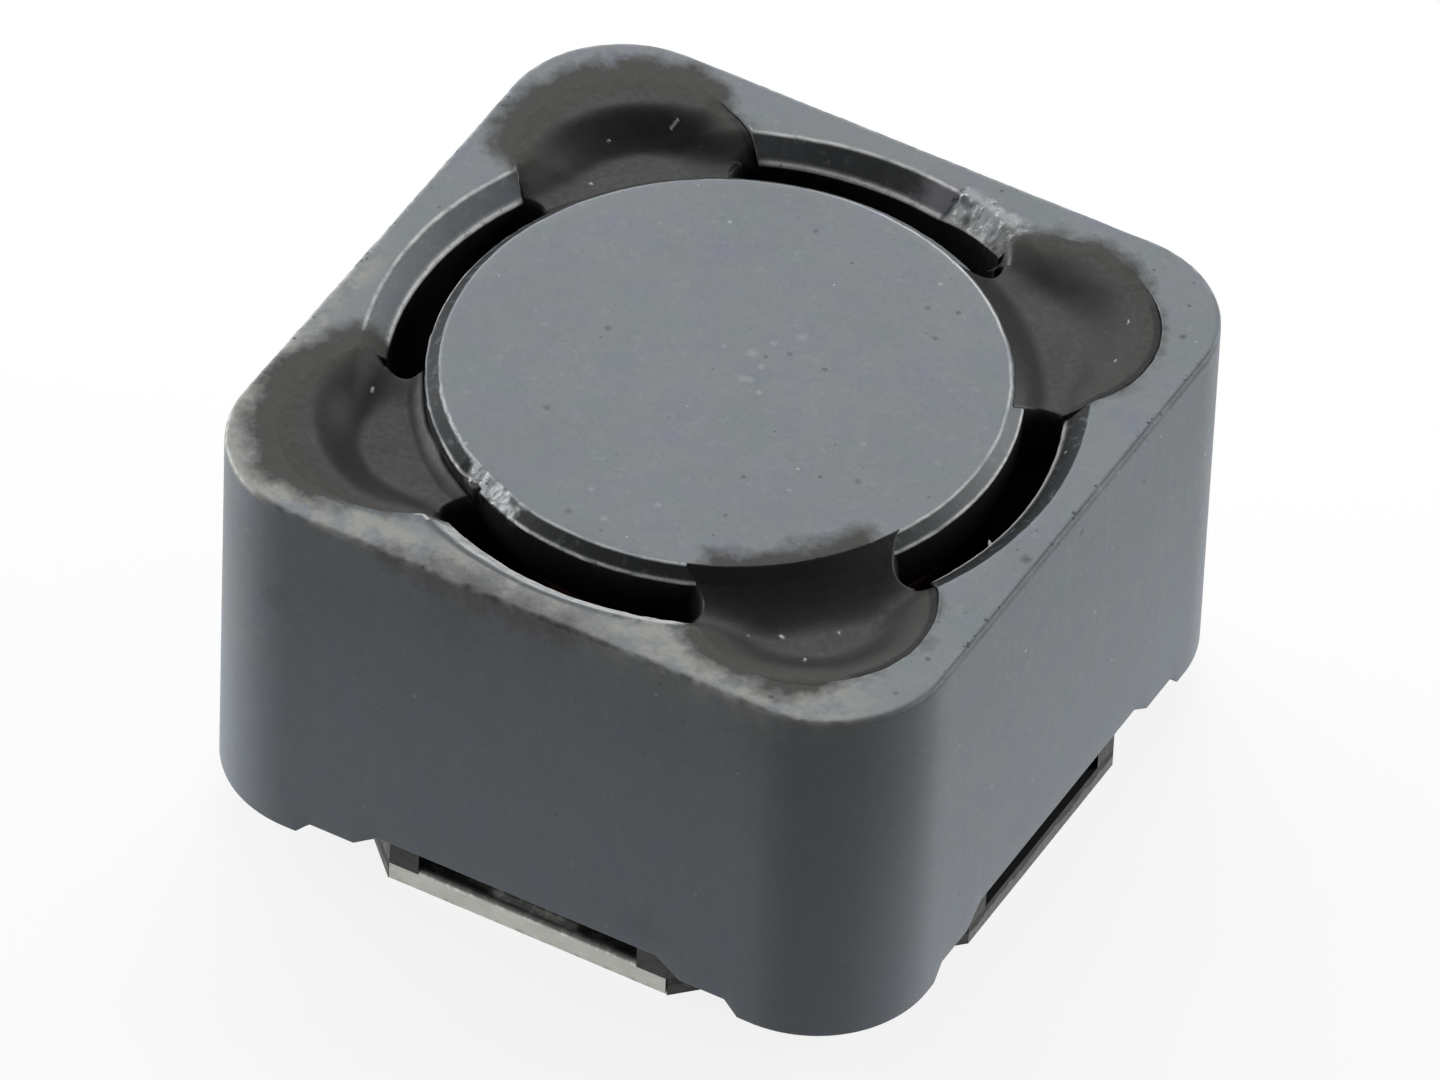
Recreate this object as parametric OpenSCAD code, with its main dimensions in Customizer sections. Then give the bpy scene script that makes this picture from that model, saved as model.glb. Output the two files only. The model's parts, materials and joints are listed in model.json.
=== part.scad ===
// Shielded surface-mount power inductor, in millimetres.
// Origin: centre of the footprint on the solder plane. +Z is up, the terminals are on the -Y and +Y sides.

/* [Ring core] */
// Width of the ring core along X
core_w = 12; // [11.8:0.1:13]
// Depth of the ring core along Y
core_d = 12; // [11.8:0.1:13]
// Height of the ring core from its feet to its top face
core_h = 6.5; // [5.5:0.1:9]
// Radius of the four upright corners
core_corner_r = 1.95; // [0.6:0.05:2.2]
// Diameter of the round bore
bore_d = 10.2; // [9.9:0.05:10.5]
// Width of the bevel round the top of the bore
bevel_w = 0.4; // [0.15:0.05:0.5]
// Depth of the bevel round the top of the bore
bevel_h = 0.3; // [0.15:0.05:0.5]
// Radius of the round glue pocket in each corner
pocket_r = 1.85; // [1.5:0.05:1.95]
// Distance from the drum's axis to the middle of a glue pocket
pocket_reach = 4.9; // [4.7:0.05:5.1]
// Depth of the glue pockets
pocket_depth = 0.9; // [0.5:0.05:1.4]

/* [Recess under each side] */
// Width of the outer step between two feet, at its mouth
step_w = 7.66; // [7:0.02:8]
// Rise of the outer step
step_rise = 0.26; // [0.2:0.02:0.4]
// Width that the slope of the outer step takes up at each end
step_run = 0.23; // [0.1:0.01:0.35]
// Width of the inner step, at its mouth
recess_w = 5.66; // [5.5:0.02:6]
// Rise of the inner step
recess_rise = 0.31; // [0.25:0.01:0.5]
// Width that the slope of the inner step takes up at each end
recess_run = 0.42; // [0.2:0.01:0.5]

/* [Drum core] */
// Air gap between the drum's flanges and the bore
core_gap = 0.6; // [0.5:0.02:0.7]
// Height of the drum's top above the ring's top
drum_proud = 0.1; // [0:0.02:0.3]
// Thickness of the upper flange
top_flange_t = 1; // [0.7:0.05:1.4]
// Thickness of the lower flange
low_flange_t = 1; // [0.8:0.05:1.4]
// Diameter of the drum's post
post_d = 6; // [5:0.1:6.1]
// Width of the bevel on the upper flange's rim
rim_bevel_w = 0.22; // [0.1:0.02:0.3]
// Depth of the bevel on the upper flange's rim
rim_bevel_h = 0.18; // [0.1:0.02:0.3]
// Bevel on the other edges of the flanges
edge_bevel = 0.08; // [0.04:0.02:0.15]
// Width of the notch for each lead in the lower flange
lead_notch_w = 0.9; // [0.8:0.05:1.4]
// Clearance between a lead and the inner end of its notch
lead_notch_clear = 0.15; // [0.05:0.05:0.4]

/* [Winding] */
// Diameter of the wire with its enamel
wire_d = 0.5; // [0.4:0.02:0.52]
// Inner radius of the sharp bends in the leads
bend_r = 0.1; // [0.06:0.02:0.12]
// Radius at which the leads turn off the coil, to the wire's centre
turn_off_r = 0.4; // [0.2:0.02:0.4]
// Clearance between a lead and the bore
lead_bore_clear = 0.19; // [0.12:0.01:0.19]
// Length of lead over a terminal's lip
lead_land = 0.6; // [0.4:0.05:0.7]

/* [Base plate] */
// Size of the plate along X
plate_w = 11.5; // [11:0.1:11.7]
// Size of the plate along Y, flush with the terminals' outer faces
plate_d = 11.24; // [11.1:0.02:11.5]
// Thickness of the plate
plate_t = 0.35; // [0.3:0.01:0.5]
// Leg of each cut corner
plate_cut = 3.35; // [3:0.05:3.4]
// Height of the ring's feet above the plate
foot_gap = 0.23; // [0.15:0.01:0.4]

/* [Terminals] */
// Width of each terminal
terminal_w = 4.8; // [4:0.1:4.9]
// Thickness of the tinned strip
strip_t = 0.1; // [0.08:0.01:0.14]
// Length of the solder pad under the plate, from its outer face
pad_len = 2.2; // [1.5:0.1:3]
// Height by which the solder pads stand below the plate
pad_proud = 0.02; // [0.01:0.01:0.06]
// Clearance between the drum's rim and the end of a terminal's upper lip
lip_gap = 0.12; // [0.08:0.02:0.2]
// Cover of solder over the lead
solder_cover = 0.05; // [0.03:0.01:0.08]
// Width of the solder along the terminal
solder_w = 1.5; // [1:0.1:2]
// Distance from the terminal's outer face to the solder
solder_inset = 0.26; // [0.2:0.02:0.3]

/* [Adhesives] */
// Thickness of the film under the drum
film_t = 0.05; // [0.03:0.01:0.1]
// Bare margin of the film inside the drum's rim
film_margin = 0.5; // [0.2:0.05:1]
// Width of the beads along the plate's cut corners
bead_w = 0.36; // [0.2:0.02:0.5]
// Inset of the beads and the epoxy from the ring's outer faces
glue_inset = 0.2; // [0.1:0.05:0.4]
// Depth of the dished surface of the epoxy below the ring's top
dish_depth = 0.34; // [0.15:0.01:0.45]
// Half width of the dish at the level of the ring's top
dish_half_w = 0.72; // [0.6:0.02:0.9]
// Depth to which the epoxy fills the gap below the ring's top
epoxy_depth = 1.2; // [0.9:0.05:1.6]
// Half width of the epoxy where it crosses the gap
epoxy_half_w = 1.66; // [1.3:0.02:1.8]
// Height of the epoxy that spread over the ring's top
spread_h = 0.05; // [0.03:0.01:0.08]
// Clearance of a cured adhesive or a wire to the curved faces beside it
seat_clear = 0.02; // [0.01:0.005:0.03]

/* [Hidden] */

$fn = 96;
over = 1;

// Levels
plate_z = pad_proud;
plate_top = plate_z + plate_t;
lip_top = plate_top + strip_t;
foot_lift = plate_top + foot_gap;
ring_top = foot_lift + core_h;
drum_z = plate_top + film_t;
drum_top = ring_top + drum_proud;

// Radii
bore_r = bore_d / 2;
flange_r = bore_r - core_gap;
post_r = post_d / 2;
terminal_y = plate_d / 2;
wall_y = terminal_y - strip_t;
lip_y = flange_r + lip_gap;

// The coil: turns side by side in two layers between the flanges
wire_r = wire_d / 2;
turn_pitch = wire_d + seat_clear;
coil_z = drum_z + low_flange_t + seat_clear + wire_r;
window_h = drum_top - top_flange_t - drum_z - low_flange_t;
levels = floor((window_h - seat_clear) / turn_pitch);
turn_steps = 16;
step_angle = 360 / turn_steps;
wire_sides = 8;
// Each layer's corners stand out far enough for its straight stretches to clear what lies inside it
inner_r = (post_r + seat_clear + wire_r) / cos(step_angle / 2);
outer_r = (inner_r + turn_pitch) / cos(step_angle / 2);

// The leads: the centre line of their bends and of the stretch on the terminal
lead_bend = bend_r + wire_r;
lead_z = lip_top + seat_clear + wire_r;
lead_end = lip_y + lead_land;
drop_r = bore_r - lead_bore_clear - wire_r;
notch_r = drop_r - lead_bend - lead_notch_clear;
bend_steps = 4;

// Corners of the ring, counted from the front right one: direction of the pocket
corner_angle = [-45, 45, 135, 225];
// Direction in which each epoxy fillet crosses the gap
epoxy_angle = [-47.5, 43.5, 136.5, 224.5];
// How far each fillet spread over the ring's top beyond its pocket
epoxy_spread = [0.04, 0.06, 0.34, 0.4];

ferrite = [0.50, 0.52, 0.54];
laminate = [0.17, 0.15, 0.14];
tin = [0.76, 0.76, 0.73];
solder = [0.70, 0.71, 0.72];
copper = [0.72, 0.36, 0.20];
epoxy = [0.27, 0.27, 0.27];
adhesive = [0.42, 0.43, 0.42];

// ---- Ring core ----

module core_outline(inset) {
    x = core_w / 2 - core_corner_r;
    y = core_d / 2 - core_corner_r;
    square([core_w - 2 * inset, 2 * y], center = true);
    square([2 * x, core_d - 2 * inset], center = true);
    for (sx = [-1, 1], sy = [-1, 1])
        translate([sx * x, sy * y]) circle(core_corner_r - inset);
}

// Section of the stepped recess, drawn across one side and cut right through the ring
module recess_section() {
    mouth = step_w / 2;
    inner = recess_w / 2;
    polygon([
        [-mouth - step_run, -step_rise],
        [-mouth + step_run, step_rise],
        [-inner, step_rise],
        [-inner + recess_run, step_rise + recess_rise],
        [inner - recess_run, step_rise + recess_rise],
        [inner, step_rise],
        [mouth - step_run, step_rise],
        [mouth + step_run, -step_rise]
    ]);
}

module recess_cut(length) {
    translate([0, 0, foot_lift])
        rotate([90, 0, 0])
            linear_extrude(length + 2 * over, center = true) recess_section();
}

// The bore, its bevel and the pockets, smaller by a clearance where a filling is to seat in them
module bore_space(clear) {
    slope = bevel_w / bevel_h;
    translate([0, 0, foot_lift - over])
        cylinder(h = core_h + 2 * over, r = bore_r - clear);
    translate([0, 0, ring_top - bevel_h])
        cylinder(h = bevel_h + over, r1 = bore_r - clear, r2 = bore_r - clear + (bevel_h + over) * slope);
}

module pocket_space(angle, clear) {
    rotate([0, 0, angle])
        translate([pocket_reach, 0, ring_top - pocket_depth + clear])
            cylinder(h = pocket_depth + over, r = pocket_r - clear);
}

module ring_body() {
    difference() {
        translate([0, 0, foot_lift]) linear_extrude(core_h) core_outline(0);
        bore_space(0);
        for (angle = corner_angle) pocket_space(angle, 0);
        recess_cut(core_d);
        rotate([0, 0, 90]) recess_cut(core_w);
    }
}

module ring_core() {
    color(ferrite) ring_body();
}

// ---- Drum core ----

module drum_section() {
    polygon([
        [0, drum_z],
        [flange_r - edge_bevel, drum_z],
        [flange_r, drum_z + edge_bevel],
        [flange_r, drum_z + low_flange_t],
        [post_r, drum_z + low_flange_t],
        [post_r, drum_top - top_flange_t],
        [flange_r - edge_bevel, drum_top - top_flange_t],
        [flange_r, drum_top - top_flange_t + edge_bevel],
        [flange_r, drum_top - rim_bevel_h],
        [flange_r - rim_bevel_w, drum_top],
        [0, drum_top]
    ]);
}

module lead_notch() {
    translate([-lead_notch_w / 2, notch_r, drum_z - over])
        cube([lead_notch_w, flange_r, low_flange_t + 2 * over]);
}

module drum_core() {
    color(ferrite)
        difference() {
            rotate_extrude() drum_section();
            lead_notch();
            rotate([0, 0, 180]) lead_notch();
        }
}

// ---- Winding: one wire, swept along leads and turns ----

function polar(r, angle, z) = [r * cos(angle), r * sin(angle), z];

// Radius of the turn from a radial lead on to a coil of radius r, as far as the window leaves room for it
function turn_r(r) = min(turn_off_r, (pow(drop_r - lead_bend, 2) - pow(r, 2)) / (2 * r));

// Distance from the axis at which a lead that turns off a coil of radius r runs straight out
function leave_r(r) = sqrt(pow(r + turn_r(r), 2) - pow(turn_r(r), 2));

// Angle round the axis that this turn takes up
function leave_angle(r) = asin(turn_r(r) / (r + turn_r(r)));

// Turn from a radial lead at the given angle on to a coil of radius r; side is 1 or -1
function turn_off(r, angle, z, side) = [
    for (i = [0 : bend_steps])
        let (
            f = (90 - leave_angle(r)) * i / bend_steps,
            u = leave_r(r) - turn_r(r) * sin(f),
            v = turn_r(r) * (1 - cos(f))
        )
        [u * cos(angle) - side * v * sin(angle), u * sin(angle) + side * v * cos(angle), z]
];

// Lead from its end on the terminal, up through the notch, to the level of the first turn
function lead(angle) = concat(
    [polar(lead_end, angle, lead_z)],
    [for (i = [0 : bend_steps])
        let (f = 90 * i / bend_steps)
        polar(drop_r + lead_bend * (1 - sin(f)), angle, lead_z + lead_bend * (1 - cos(f)))],
    [for (i = [0 : bend_steps])
        let (f = 90 * i / bend_steps)
        polar(drop_r - lead_bend * (1 - cos(f)), angle, coil_z - lead_bend * (1 - sin(f)))]
);

function reversed(list) = [for (i = [len(list) - 1 : -1 : 0]) list[i]];

first_angle = -90 + leave_angle(inner_r);
top_z = coil_z + (levels - 1) * turn_pitch;
second_z = coil_z + turn_pitch;
cross_angle = 90;
hold_angle = 30;

// Inner layer going up, the step across, the outer layer going down, and its last half turn
inner_layer = [
    for (i = [1 : (levels - 1) * turn_steps])
        polar(inner_r, first_angle + i * step_angle, coil_z + i * turn_pitch / turn_steps)
];
cross_over = [
    for (i = [1 : cross_angle / step_angle])
        let (f = i * step_angle / cross_angle)
        polar(inner_r + (outer_r - inner_r) * f, first_angle + i * step_angle, top_z)
];
outer_start = first_angle + cross_angle;
outer_turn = 270 - outer_start + 360 * (levels - 3);
outer_count = ceil(outer_turn / step_angle);
outer_layer = [
    for (i = [1 : outer_count])
        let (f = i / outer_count)
        polar(outer_r, outer_start + f * outer_turn, top_z - f * (top_z - second_z))
];
run_out_turn = 180 - hold_angle - leave_angle(outer_r);
run_out_count = ceil(run_out_turn / step_angle);
run_out = [
    for (i = [0 : run_out_count - 1])
        let (f = i / run_out_count)
        polar(outer_r, -90 + hold_angle + f * run_out_turn, second_z - f * turn_pitch)
];

wire_path = concat(
    lead(-90),
    turn_off(inner_r, -90, coil_z, 1),
    inner_layer,
    cross_over,
    outer_layer,
    run_out,
    reversed(turn_off(outer_r, 90, coil_z, -1)),
    reversed(lead(90))
);

function unit(v) = v / norm(v);
function tangent(path, i) = unit(path[min(i + 1, len(path) - 1)] - path[max(i - 1, 0)]);
// The side vector that turns least from one point of the path to the next
function carried(side, along) = unit(side - (side * along) * along);

module sweep(path, r, sides) {
    rings = [
        for (i = 0, s = carried([1, 0, 0], tangent(path, 0));
             i < len(path);
             i = i + 1, s = i < len(path) ? carried(s, tangent(path, i)) : s)
            let (t = tangent(path, i), w = cross(t, s))
            for (k = [0 : sides - 1])
                let (f = 360 * (k + 0.5) / sides)
                path[i] + r * (cos(f) * s + sin(f) * w)
    ];
    last = (len(path) - 1) * sides;
    walls = [
        for (i = [0 : len(path) - 2], k = [0 : sides - 1])
            let (a = i * sides + k, b = i * sides + (k + 1) % sides)
            each [[a, a + sides, b], [b, a + sides, b + sides]]
    ];
    polyhedron(rings, concat(
        [[for (k = [0 : sides - 1]) k]],
        walls,
        [[for (k = [sides - 1 : -1 : 0]) last + k]]
    ));
}

module winding() {
    color(copper) sweep(wire_path, wire_r, wire_sides);
}

// ---- Base plate and terminals ----

module plate_outline() {
    x = plate_w / 2;
    y = plate_d / 2;
    polygon([
        [x, y - plate_cut], [x - plate_cut, y], [plate_cut - x, y], [-x, y - plate_cut],
        [-x, plate_cut - y], [plate_cut - x, -y], [x - plate_cut, -y], [x, plate_cut - y]
    ]);
}

// Space let into the plate for the pad and the wall of a terminal
module terminal_seat() {
    seat_w = terminal_w + 2 * seat_clear;
    pad_y = terminal_y - pad_len - seat_clear;
    translate([-seat_w / 2, pad_y, strip_t - over]) cube([seat_w, core_d, over]);
    translate([-seat_w / 2, wall_y, -over]) cube([seat_w, core_d, plate_top + 2 * over]);
}

module base_plate() {
    color(laminate)
        difference() {
            translate([0, 0, plate_z]) linear_extrude(plate_t) plate_outline();
            terminal_seat();
            mirror([0, 1, 0]) terminal_seat();
        }
}

// Section of a terminal: pad below, wall outside, lip above, with rounded outer bends
module terminal_section() {
    wall_h = plate_top - strip_t;
    difference() {
        union() {
            translate([lip_y, plate_top]) square([wall_y - lip_y, strip_t]);
            translate([terminal_y - pad_len, 0]) square([wall_y - terminal_y + pad_len, strip_t]);
            translate([wall_y, strip_t]) square([strip_t, wall_h]);
            translate([wall_y, strip_t]) circle(strip_t);
            translate([wall_y, plate_top]) circle(strip_t);
        }
        translate([wall_y - over, strip_t]) square([over, wall_h]);
    }
}

module terminal() {
    rotate([90, 0, 90])
        linear_extrude(terminal_w, center = true) terminal_section();
}

module terminal_front() {
    color(tin) mirror([0, 1, 0]) terminal();
}

module terminal_rear() {
    color(tin) terminal();
}

// Solder on the lip: a cushion, arched along the terminal and across it, with the lead in it
solder_h = wire_d + seat_clear + solder_cover;
solder_foot = (terminal_y - solder_inset - lip_y - seat_clear) / 2;
solder_y = lip_y + seat_clear + solder_foot;

// Radius of an arch of the given half width and height
function arch_r(half_w, h) = (pow(half_w, 2) + pow(h, 2)) / (2 * h);

module solder_cushion() {
    along_r = arch_r(solder_w / 2, solder_h + seat_clear);
    across_r = arch_r(solder_foot, solder_h);
    intersection() {
        translate([0, 0, lip_top + solder_h + seat_clear - along_r])
            rotate([-90, 0, 0]) cylinder(h = core_d, r = along_r);
        translate([-core_w / 2, solder_y, lip_top + solder_h - across_r])
            rotate([0, 90, 0]) cylinder(h = core_w, r = across_r);
        translate([-core_w / 2, 0, lip_top]) cube([core_w, core_d, over]);
    }
}

module solder_joint() {
    tunnel_r = wire_r + seat_clear;
    difference() {
        solder_cushion();
        translate([0, 0, lead_z]) rotate([-90, 0, 0]) cylinder(h = lead_end + seat_clear, r = tunnel_r);
        translate([-tunnel_r, 0, lip_top - over]) cube([2 * tunnel_r, lead_end + seat_clear, over + tunnel_r]);
        translate([-tunnel_r, 0, lead_z]) cube([2 * tunnel_r, drop_r + lead_bend, over]);
    }
}

module solder_front() {
    color(solder) mirror([0, 1, 0]) solder_joint();
}

module solder_rear() {
    color(solder) solder_joint();
}

// ---- Adhesives ----

module drum_adhesive() {
    color(adhesive)
        translate([0, 0, plate_top]) cylinder(h = film_t, r = flange_r - film_margin);
}

// Bead along a cut corner of the plate, up to the underside of the ring
module bead(corner) {
    reach = (plate_w / 2 + plate_d / 2 - plate_cut) / sqrt(2);
    color(adhesive)
        difference() {
            intersection() {
                translate([0, 0, plate_top]) linear_extrude(foot_gap + step_rise) plate_outline();
                translate([0, 0, plate_top]) linear_extrude(core_h) core_outline(glue_inset);
                rotate([0, 0, corner_angle[corner]])
                    translate([reach - bead_w, -core_w / 2, 0]) cube([core_w, core_w, ring_top]);
            }
            cylinder(h = ring_top, r = bore_r + seat_clear);
            ring_body();
            terminal();
            mirror([0, 1, 0]) terminal();
        }
}

module bead_front_right() {
    bead(0);
}

module bead_rear_right() {
    bead(1);
}

module bead_rear_left() {
    bead(2);
}

module bead_front_left() {
    bead(3);
}

// The dished surface: a round groove that follows the gap
module dish() {
    dish_r = (pow(dish_half_w, 2) + pow(dish_depth, 2)) / (2 * dish_depth);
    rotate_extrude()
        translate([flange_r + seat_clear + dish_half_w, ring_top - dish_depth + dish_r]) circle(dish_r);
}

// The drum's rim with its bevel, larger by a clearance
module rim_space(clear) {
    slope = rim_bevel_w / rim_bevel_h;
    bevel_z = drum_top - rim_bevel_h;
    top_r = flange_r + clear - (rim_bevel_h + over) * slope;
    translate([0, 0, ring_top - epoxy_depth - over])
        cylinder(h = bevel_z - ring_top + epoxy_depth + over, r = flange_r + clear);
    translate([0, 0, bevel_z])
        cylinder(h = rim_bevel_h + over, r1 = flange_r + clear, r2 = top_r);
}

// Epoxy in a pocket and across the gap, with the film that spread over the ring's top
module epoxy_fillet(corner) {
    fill_z = ring_top - epoxy_depth;
    fill_h = epoxy_depth + spread_h;
    color(epoxy)
        difference() {
            union() {
                intersection() {
                    bore_space(seat_clear);
                    rotate([0, 0, epoxy_angle[corner]])
                        translate([pocket_reach, 0, fill_z]) cylinder(h = fill_h, r = epoxy_half_w);
                }
                intersection() {
                    pocket_space(corner_angle[corner], seat_clear);
                    translate([0, 0, fill_z]) linear_extrude(fill_h) core_outline(glue_inset);
                }
                intersection() {
                    translate([0, 0, ring_top]) linear_extrude(spread_h) core_outline(glue_inset);
                    rotate([0, 0, corner_angle[corner]])
                        translate([pocket_reach, 0, ring_top])
                            cylinder(h = spread_h, r = pocket_r + epoxy_spread[corner]);
                }
            }
            rim_space(seat_clear);
            dish();
        }
}

module epoxy_front_right() {
    epoxy_fillet(0);
}

module epoxy_rear_right() {
    epoxy_fillet(1);
}

module epoxy_rear_left() {
    epoxy_fillet(2);
}

module epoxy_front_left() {
    epoxy_fillet(3);
}

ring_core();
drum_core();
winding();
base_plate();
terminal_front();
terminal_rear();
solder_front();
solder_rear();
drum_adhesive();
bead_front_right();
bead_rear_right();
bead_rear_left();
bead_front_left();
epoxy_front_right();
epoxy_rear_right();
epoxy_rear_left();
epoxy_front_left();
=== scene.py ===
"""Shielded surface-mount inductor: detailed meshes, materials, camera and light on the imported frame."""
import json
import math

import bmesh
import bpy
import numpy as np
from mathutils import Matrix, Vector

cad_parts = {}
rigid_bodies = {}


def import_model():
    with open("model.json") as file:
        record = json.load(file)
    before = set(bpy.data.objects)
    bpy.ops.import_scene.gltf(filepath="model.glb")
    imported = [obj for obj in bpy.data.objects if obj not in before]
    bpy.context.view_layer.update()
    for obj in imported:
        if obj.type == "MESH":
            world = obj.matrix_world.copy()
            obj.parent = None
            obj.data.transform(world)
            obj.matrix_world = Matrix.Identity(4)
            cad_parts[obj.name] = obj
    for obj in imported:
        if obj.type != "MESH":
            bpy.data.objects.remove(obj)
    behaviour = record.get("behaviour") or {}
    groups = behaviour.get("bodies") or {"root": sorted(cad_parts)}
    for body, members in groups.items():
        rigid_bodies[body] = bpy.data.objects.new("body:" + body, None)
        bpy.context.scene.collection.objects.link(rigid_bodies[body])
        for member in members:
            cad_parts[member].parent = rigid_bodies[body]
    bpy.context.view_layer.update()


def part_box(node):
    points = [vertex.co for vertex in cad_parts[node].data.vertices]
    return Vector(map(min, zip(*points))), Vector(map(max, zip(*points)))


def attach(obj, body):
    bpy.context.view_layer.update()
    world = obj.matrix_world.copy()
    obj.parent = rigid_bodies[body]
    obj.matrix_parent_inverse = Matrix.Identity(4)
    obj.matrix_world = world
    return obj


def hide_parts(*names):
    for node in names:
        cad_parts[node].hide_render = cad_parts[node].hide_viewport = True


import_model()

MM = 0.001


# ---------------- sizes, in millimetres

def box_mm(node):
    low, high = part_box(node)
    return [v / MM for v in low], [v / MM for v in high]


ring_low, ring_high = box_mm("ring_core")
drum_low, drum_high = box_mm("drum_core")
plate_low, plate_high = box_mm("base_plate")

HALF = ring_high[0]            # half the ring's width
FOOT_Z = ring_low[2]
RING_TOP = ring_high[2]
CORNER_R = 1.95
BORE_R = 5.1
BEVEL_W = 0.4
BEVEL_H = 0.3
WANDER, JAG = 0.012, 0.008     # how far the bevels' edges wander, slowly and sharply
POCKET_R = 1.85
POCKET_REACH = 4.9
POCKET_Z = RING_TOP - 0.9
MOUTH, MOUTH_RUN, MOUTH_RISE = 3.83, 0.23, 0.26
INNER, INNER_RUN, INNER_RISE = 2.83, 0.42, 0.31

FLANGE_R = drum_high[0]
DRUM_Z = drum_low[2]
DRUM_TOP = drum_high[2]
FLANGE_T = 1.0
POST_R = 3.0
RIM_W = 0.22
RIM_H = 0.18
NOTCH_W = 0.9
NOTCH_R = 4.16

WIRE_R = 0.25
PITCH = 0.52
LEVELS = 9

LIP_GAP = 0.12                 # from the lower flange to the terminal's lip
LEAD_LAND = 0.6                # length of the lead on the terminal
BORE_CLEAR = 0.19              # from the lead to the bore

NO_GLUE = -9.0                 # value of the glue layer far from the epoxy's film

# Middle of each corner's pocket and fillet, in degrees from the right, counted anticlockwise
CORNERS = {"front_right": -45.0, "rear_right": 45.0, "rear_left": 135.0, "front_left": 225.0}


# ---------------- noise

def lattice(i, j, k, seed):
    h = (i * 374761393 + j * 668265263 + k * 1440662683 + seed * 974634777) & 0xffffffff
    h = ((h ^ (h >> 13)) * 1274126177) & 0xffffffff
    return ((h ^ (h >> 16)) & 0xffff) / 32767.5 - 1.0


def noise3(x, y, z, freq, seed=0, octaves=3):
    """Smooth noise between -1 and 1 at the points (x, y, z), in millimetres."""
    x, y, z = np.broadcast_arrays(np.asarray(x, float), np.asarray(y, float), np.asarray(z, float))
    total = np.zeros(x.shape)
    weight, norm = 1.0, 0.0
    for octave in range(octaves):
        cell = [np.floor(v * freq).astype(np.int64) for v in (x, y, z)]
        part = [v * freq - c for v, c in zip((x, y, z), cell)]
        part = [p * p * (3 - 2 * p) for p in part]
        value = 0.0
        for a in (0, 1):
            for b in (0, 1):
                for c in (0, 1):
                    share = ((part[0] if a else 1 - part[0]) * (part[1] if b else 1 - part[1])
                             * (part[2] if c else 1 - part[2]))
                    value = value + share * lattice(cell[0] + a, cell[1] + b, cell[2] + c, seed + octave)
        total += weight * value
        norm += weight
        weight *= 0.5
        freq *= 2.03
    return total / norm


def smooth(low, high, v):
    t = np.clip((v - low) / (high - low), 0.0, 1.0)
    return t * t * (3 - 2 * t)


def stretch(v, start, full, fall, end):
    """0 up to start, 1 from full to fall, and 0 again from end on."""
    return smooth(start, full, v) * (1 - smooth(fall, end, v))


def bump(v, middle, half_width):
    """1 at the middle, falling smoothly to 0 at half_width from it."""
    return 1 - smooth(0.0, half_width, np.abs(v - middle))


# ---------------- mesh helpers

def rounded_sections(corners, radii, arcs, edges):
    """Round the corners of open section lines.

    corners is (columns, corners, 2); radii, arcs and edges give each corner's radius and points, and the
    points inside the edge after it. Returns (columns, rows, 2) and, for each row, its place along the
    line: k at the middle of corner k, and between k and k + 1 on the edge after it.
    """
    count = corners.shape[1]
    rows, tags = [], []
    starts, ends = [], []
    for k in range(count):
        here = corners[:, k]
        if k in (0, count - 1):
            starts.append(here)
            ends.append(here)
            continue
        back = corners[:, k - 1] - here
        ahead = corners[:, k + 1] - here
        back_len = np.linalg.norm(back, axis=1)[:, None]
        ahead_len = np.linalg.norm(ahead, axis=1)[:, None]
        reach = np.minimum(radii[k], 0.45 * np.minimum(back_len, ahead_len))
        starts.append(here + back / np.maximum(back_len, 1e-9) * reach)
        ends.append(here + ahead / np.maximum(ahead_len, 1e-9) * reach)
    for k in range(count):
        here = corners[:, k]
        steps = arcs[k] if 0 < k < count - 1 else 1
        for i in range(steps):
            t = i / (steps - 1) if steps > 1 else 0.5
            rows.append((1 - t) ** 2 * starts[k] + 2 * t * (1 - t) * here + t * t * ends[k])
            tags.append(k + (t - 0.5) * 0.2)
        if k < count - 1:
            for i in range(edges[k]):
                t = (i + 1) / (edges[k] + 1)
                rows.append((1 - t) * ends[k] + t * starts[k + 1])
                tags.append(k + 0.1 + 0.8 * t)
    return np.stack(rows, axis=1), np.array(tags)


def section_corners(theta, *corners):
    """The corners of the sections in all the directions theta, each given by its radius and height."""
    one = np.ones_like(theta)
    return np.stack([np.stack([radius * one, height * one], 1) for radius, height in corners], axis=1)


def grid_faces(columns, rows, wrap_columns=True, wrap_rows=False):
    faces = []
    for i in range(columns if wrap_columns else columns - 1):
        a, b = i * rows, ((i + 1) % columns) * rows
        for j in range(rows if wrap_rows else rows - 1):
            k = (j + 1) % rows
            faces.append((a + j, b + j, b + k, a + k))
    return faces


def add_mesh(name, points, faces, layers=None, sharp=35.0, merge=1e-4):
    """Make an object from points in millimetres, merge its doubles and mark its sharp edges."""
    mesh = bpy.data.meshes.new(name)
    mesh.from_pydata([tuple(p) for p in np.asarray(points) * MM], [], faces)
    for layer, values in (layers or {}).items():
        data = mesh.attributes.new(layer, "FLOAT", "POINT")
        data.data.foreach_set("value", np.asarray(values, dtype=np.float32).ravel())
    bm = bmesh.new()
    bm.from_mesh(mesh)
    bmesh.ops.remove_doubles(bm, verts=bm.verts, dist=merge * MM)
    bmesh.ops.dissolve_degenerate(bm, edges=bm.edges, dist=merge * MM)
    bmesh.ops.recalc_face_normals(bm, faces=bm.faces)
    limit = math.radians(sharp)
    for face in bm.faces:
        face.smooth = True
    for edge in bm.edges:
        edge.smooth = len(edge.link_faces) == 2 and edge.calc_face_angle() < limit
    bm.to_mesh(mesh)
    bm.free()
    piece = bpy.data.objects.new(name, mesh)
    bpy.context.scene.collection.objects.link(piece)
    return piece


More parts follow.
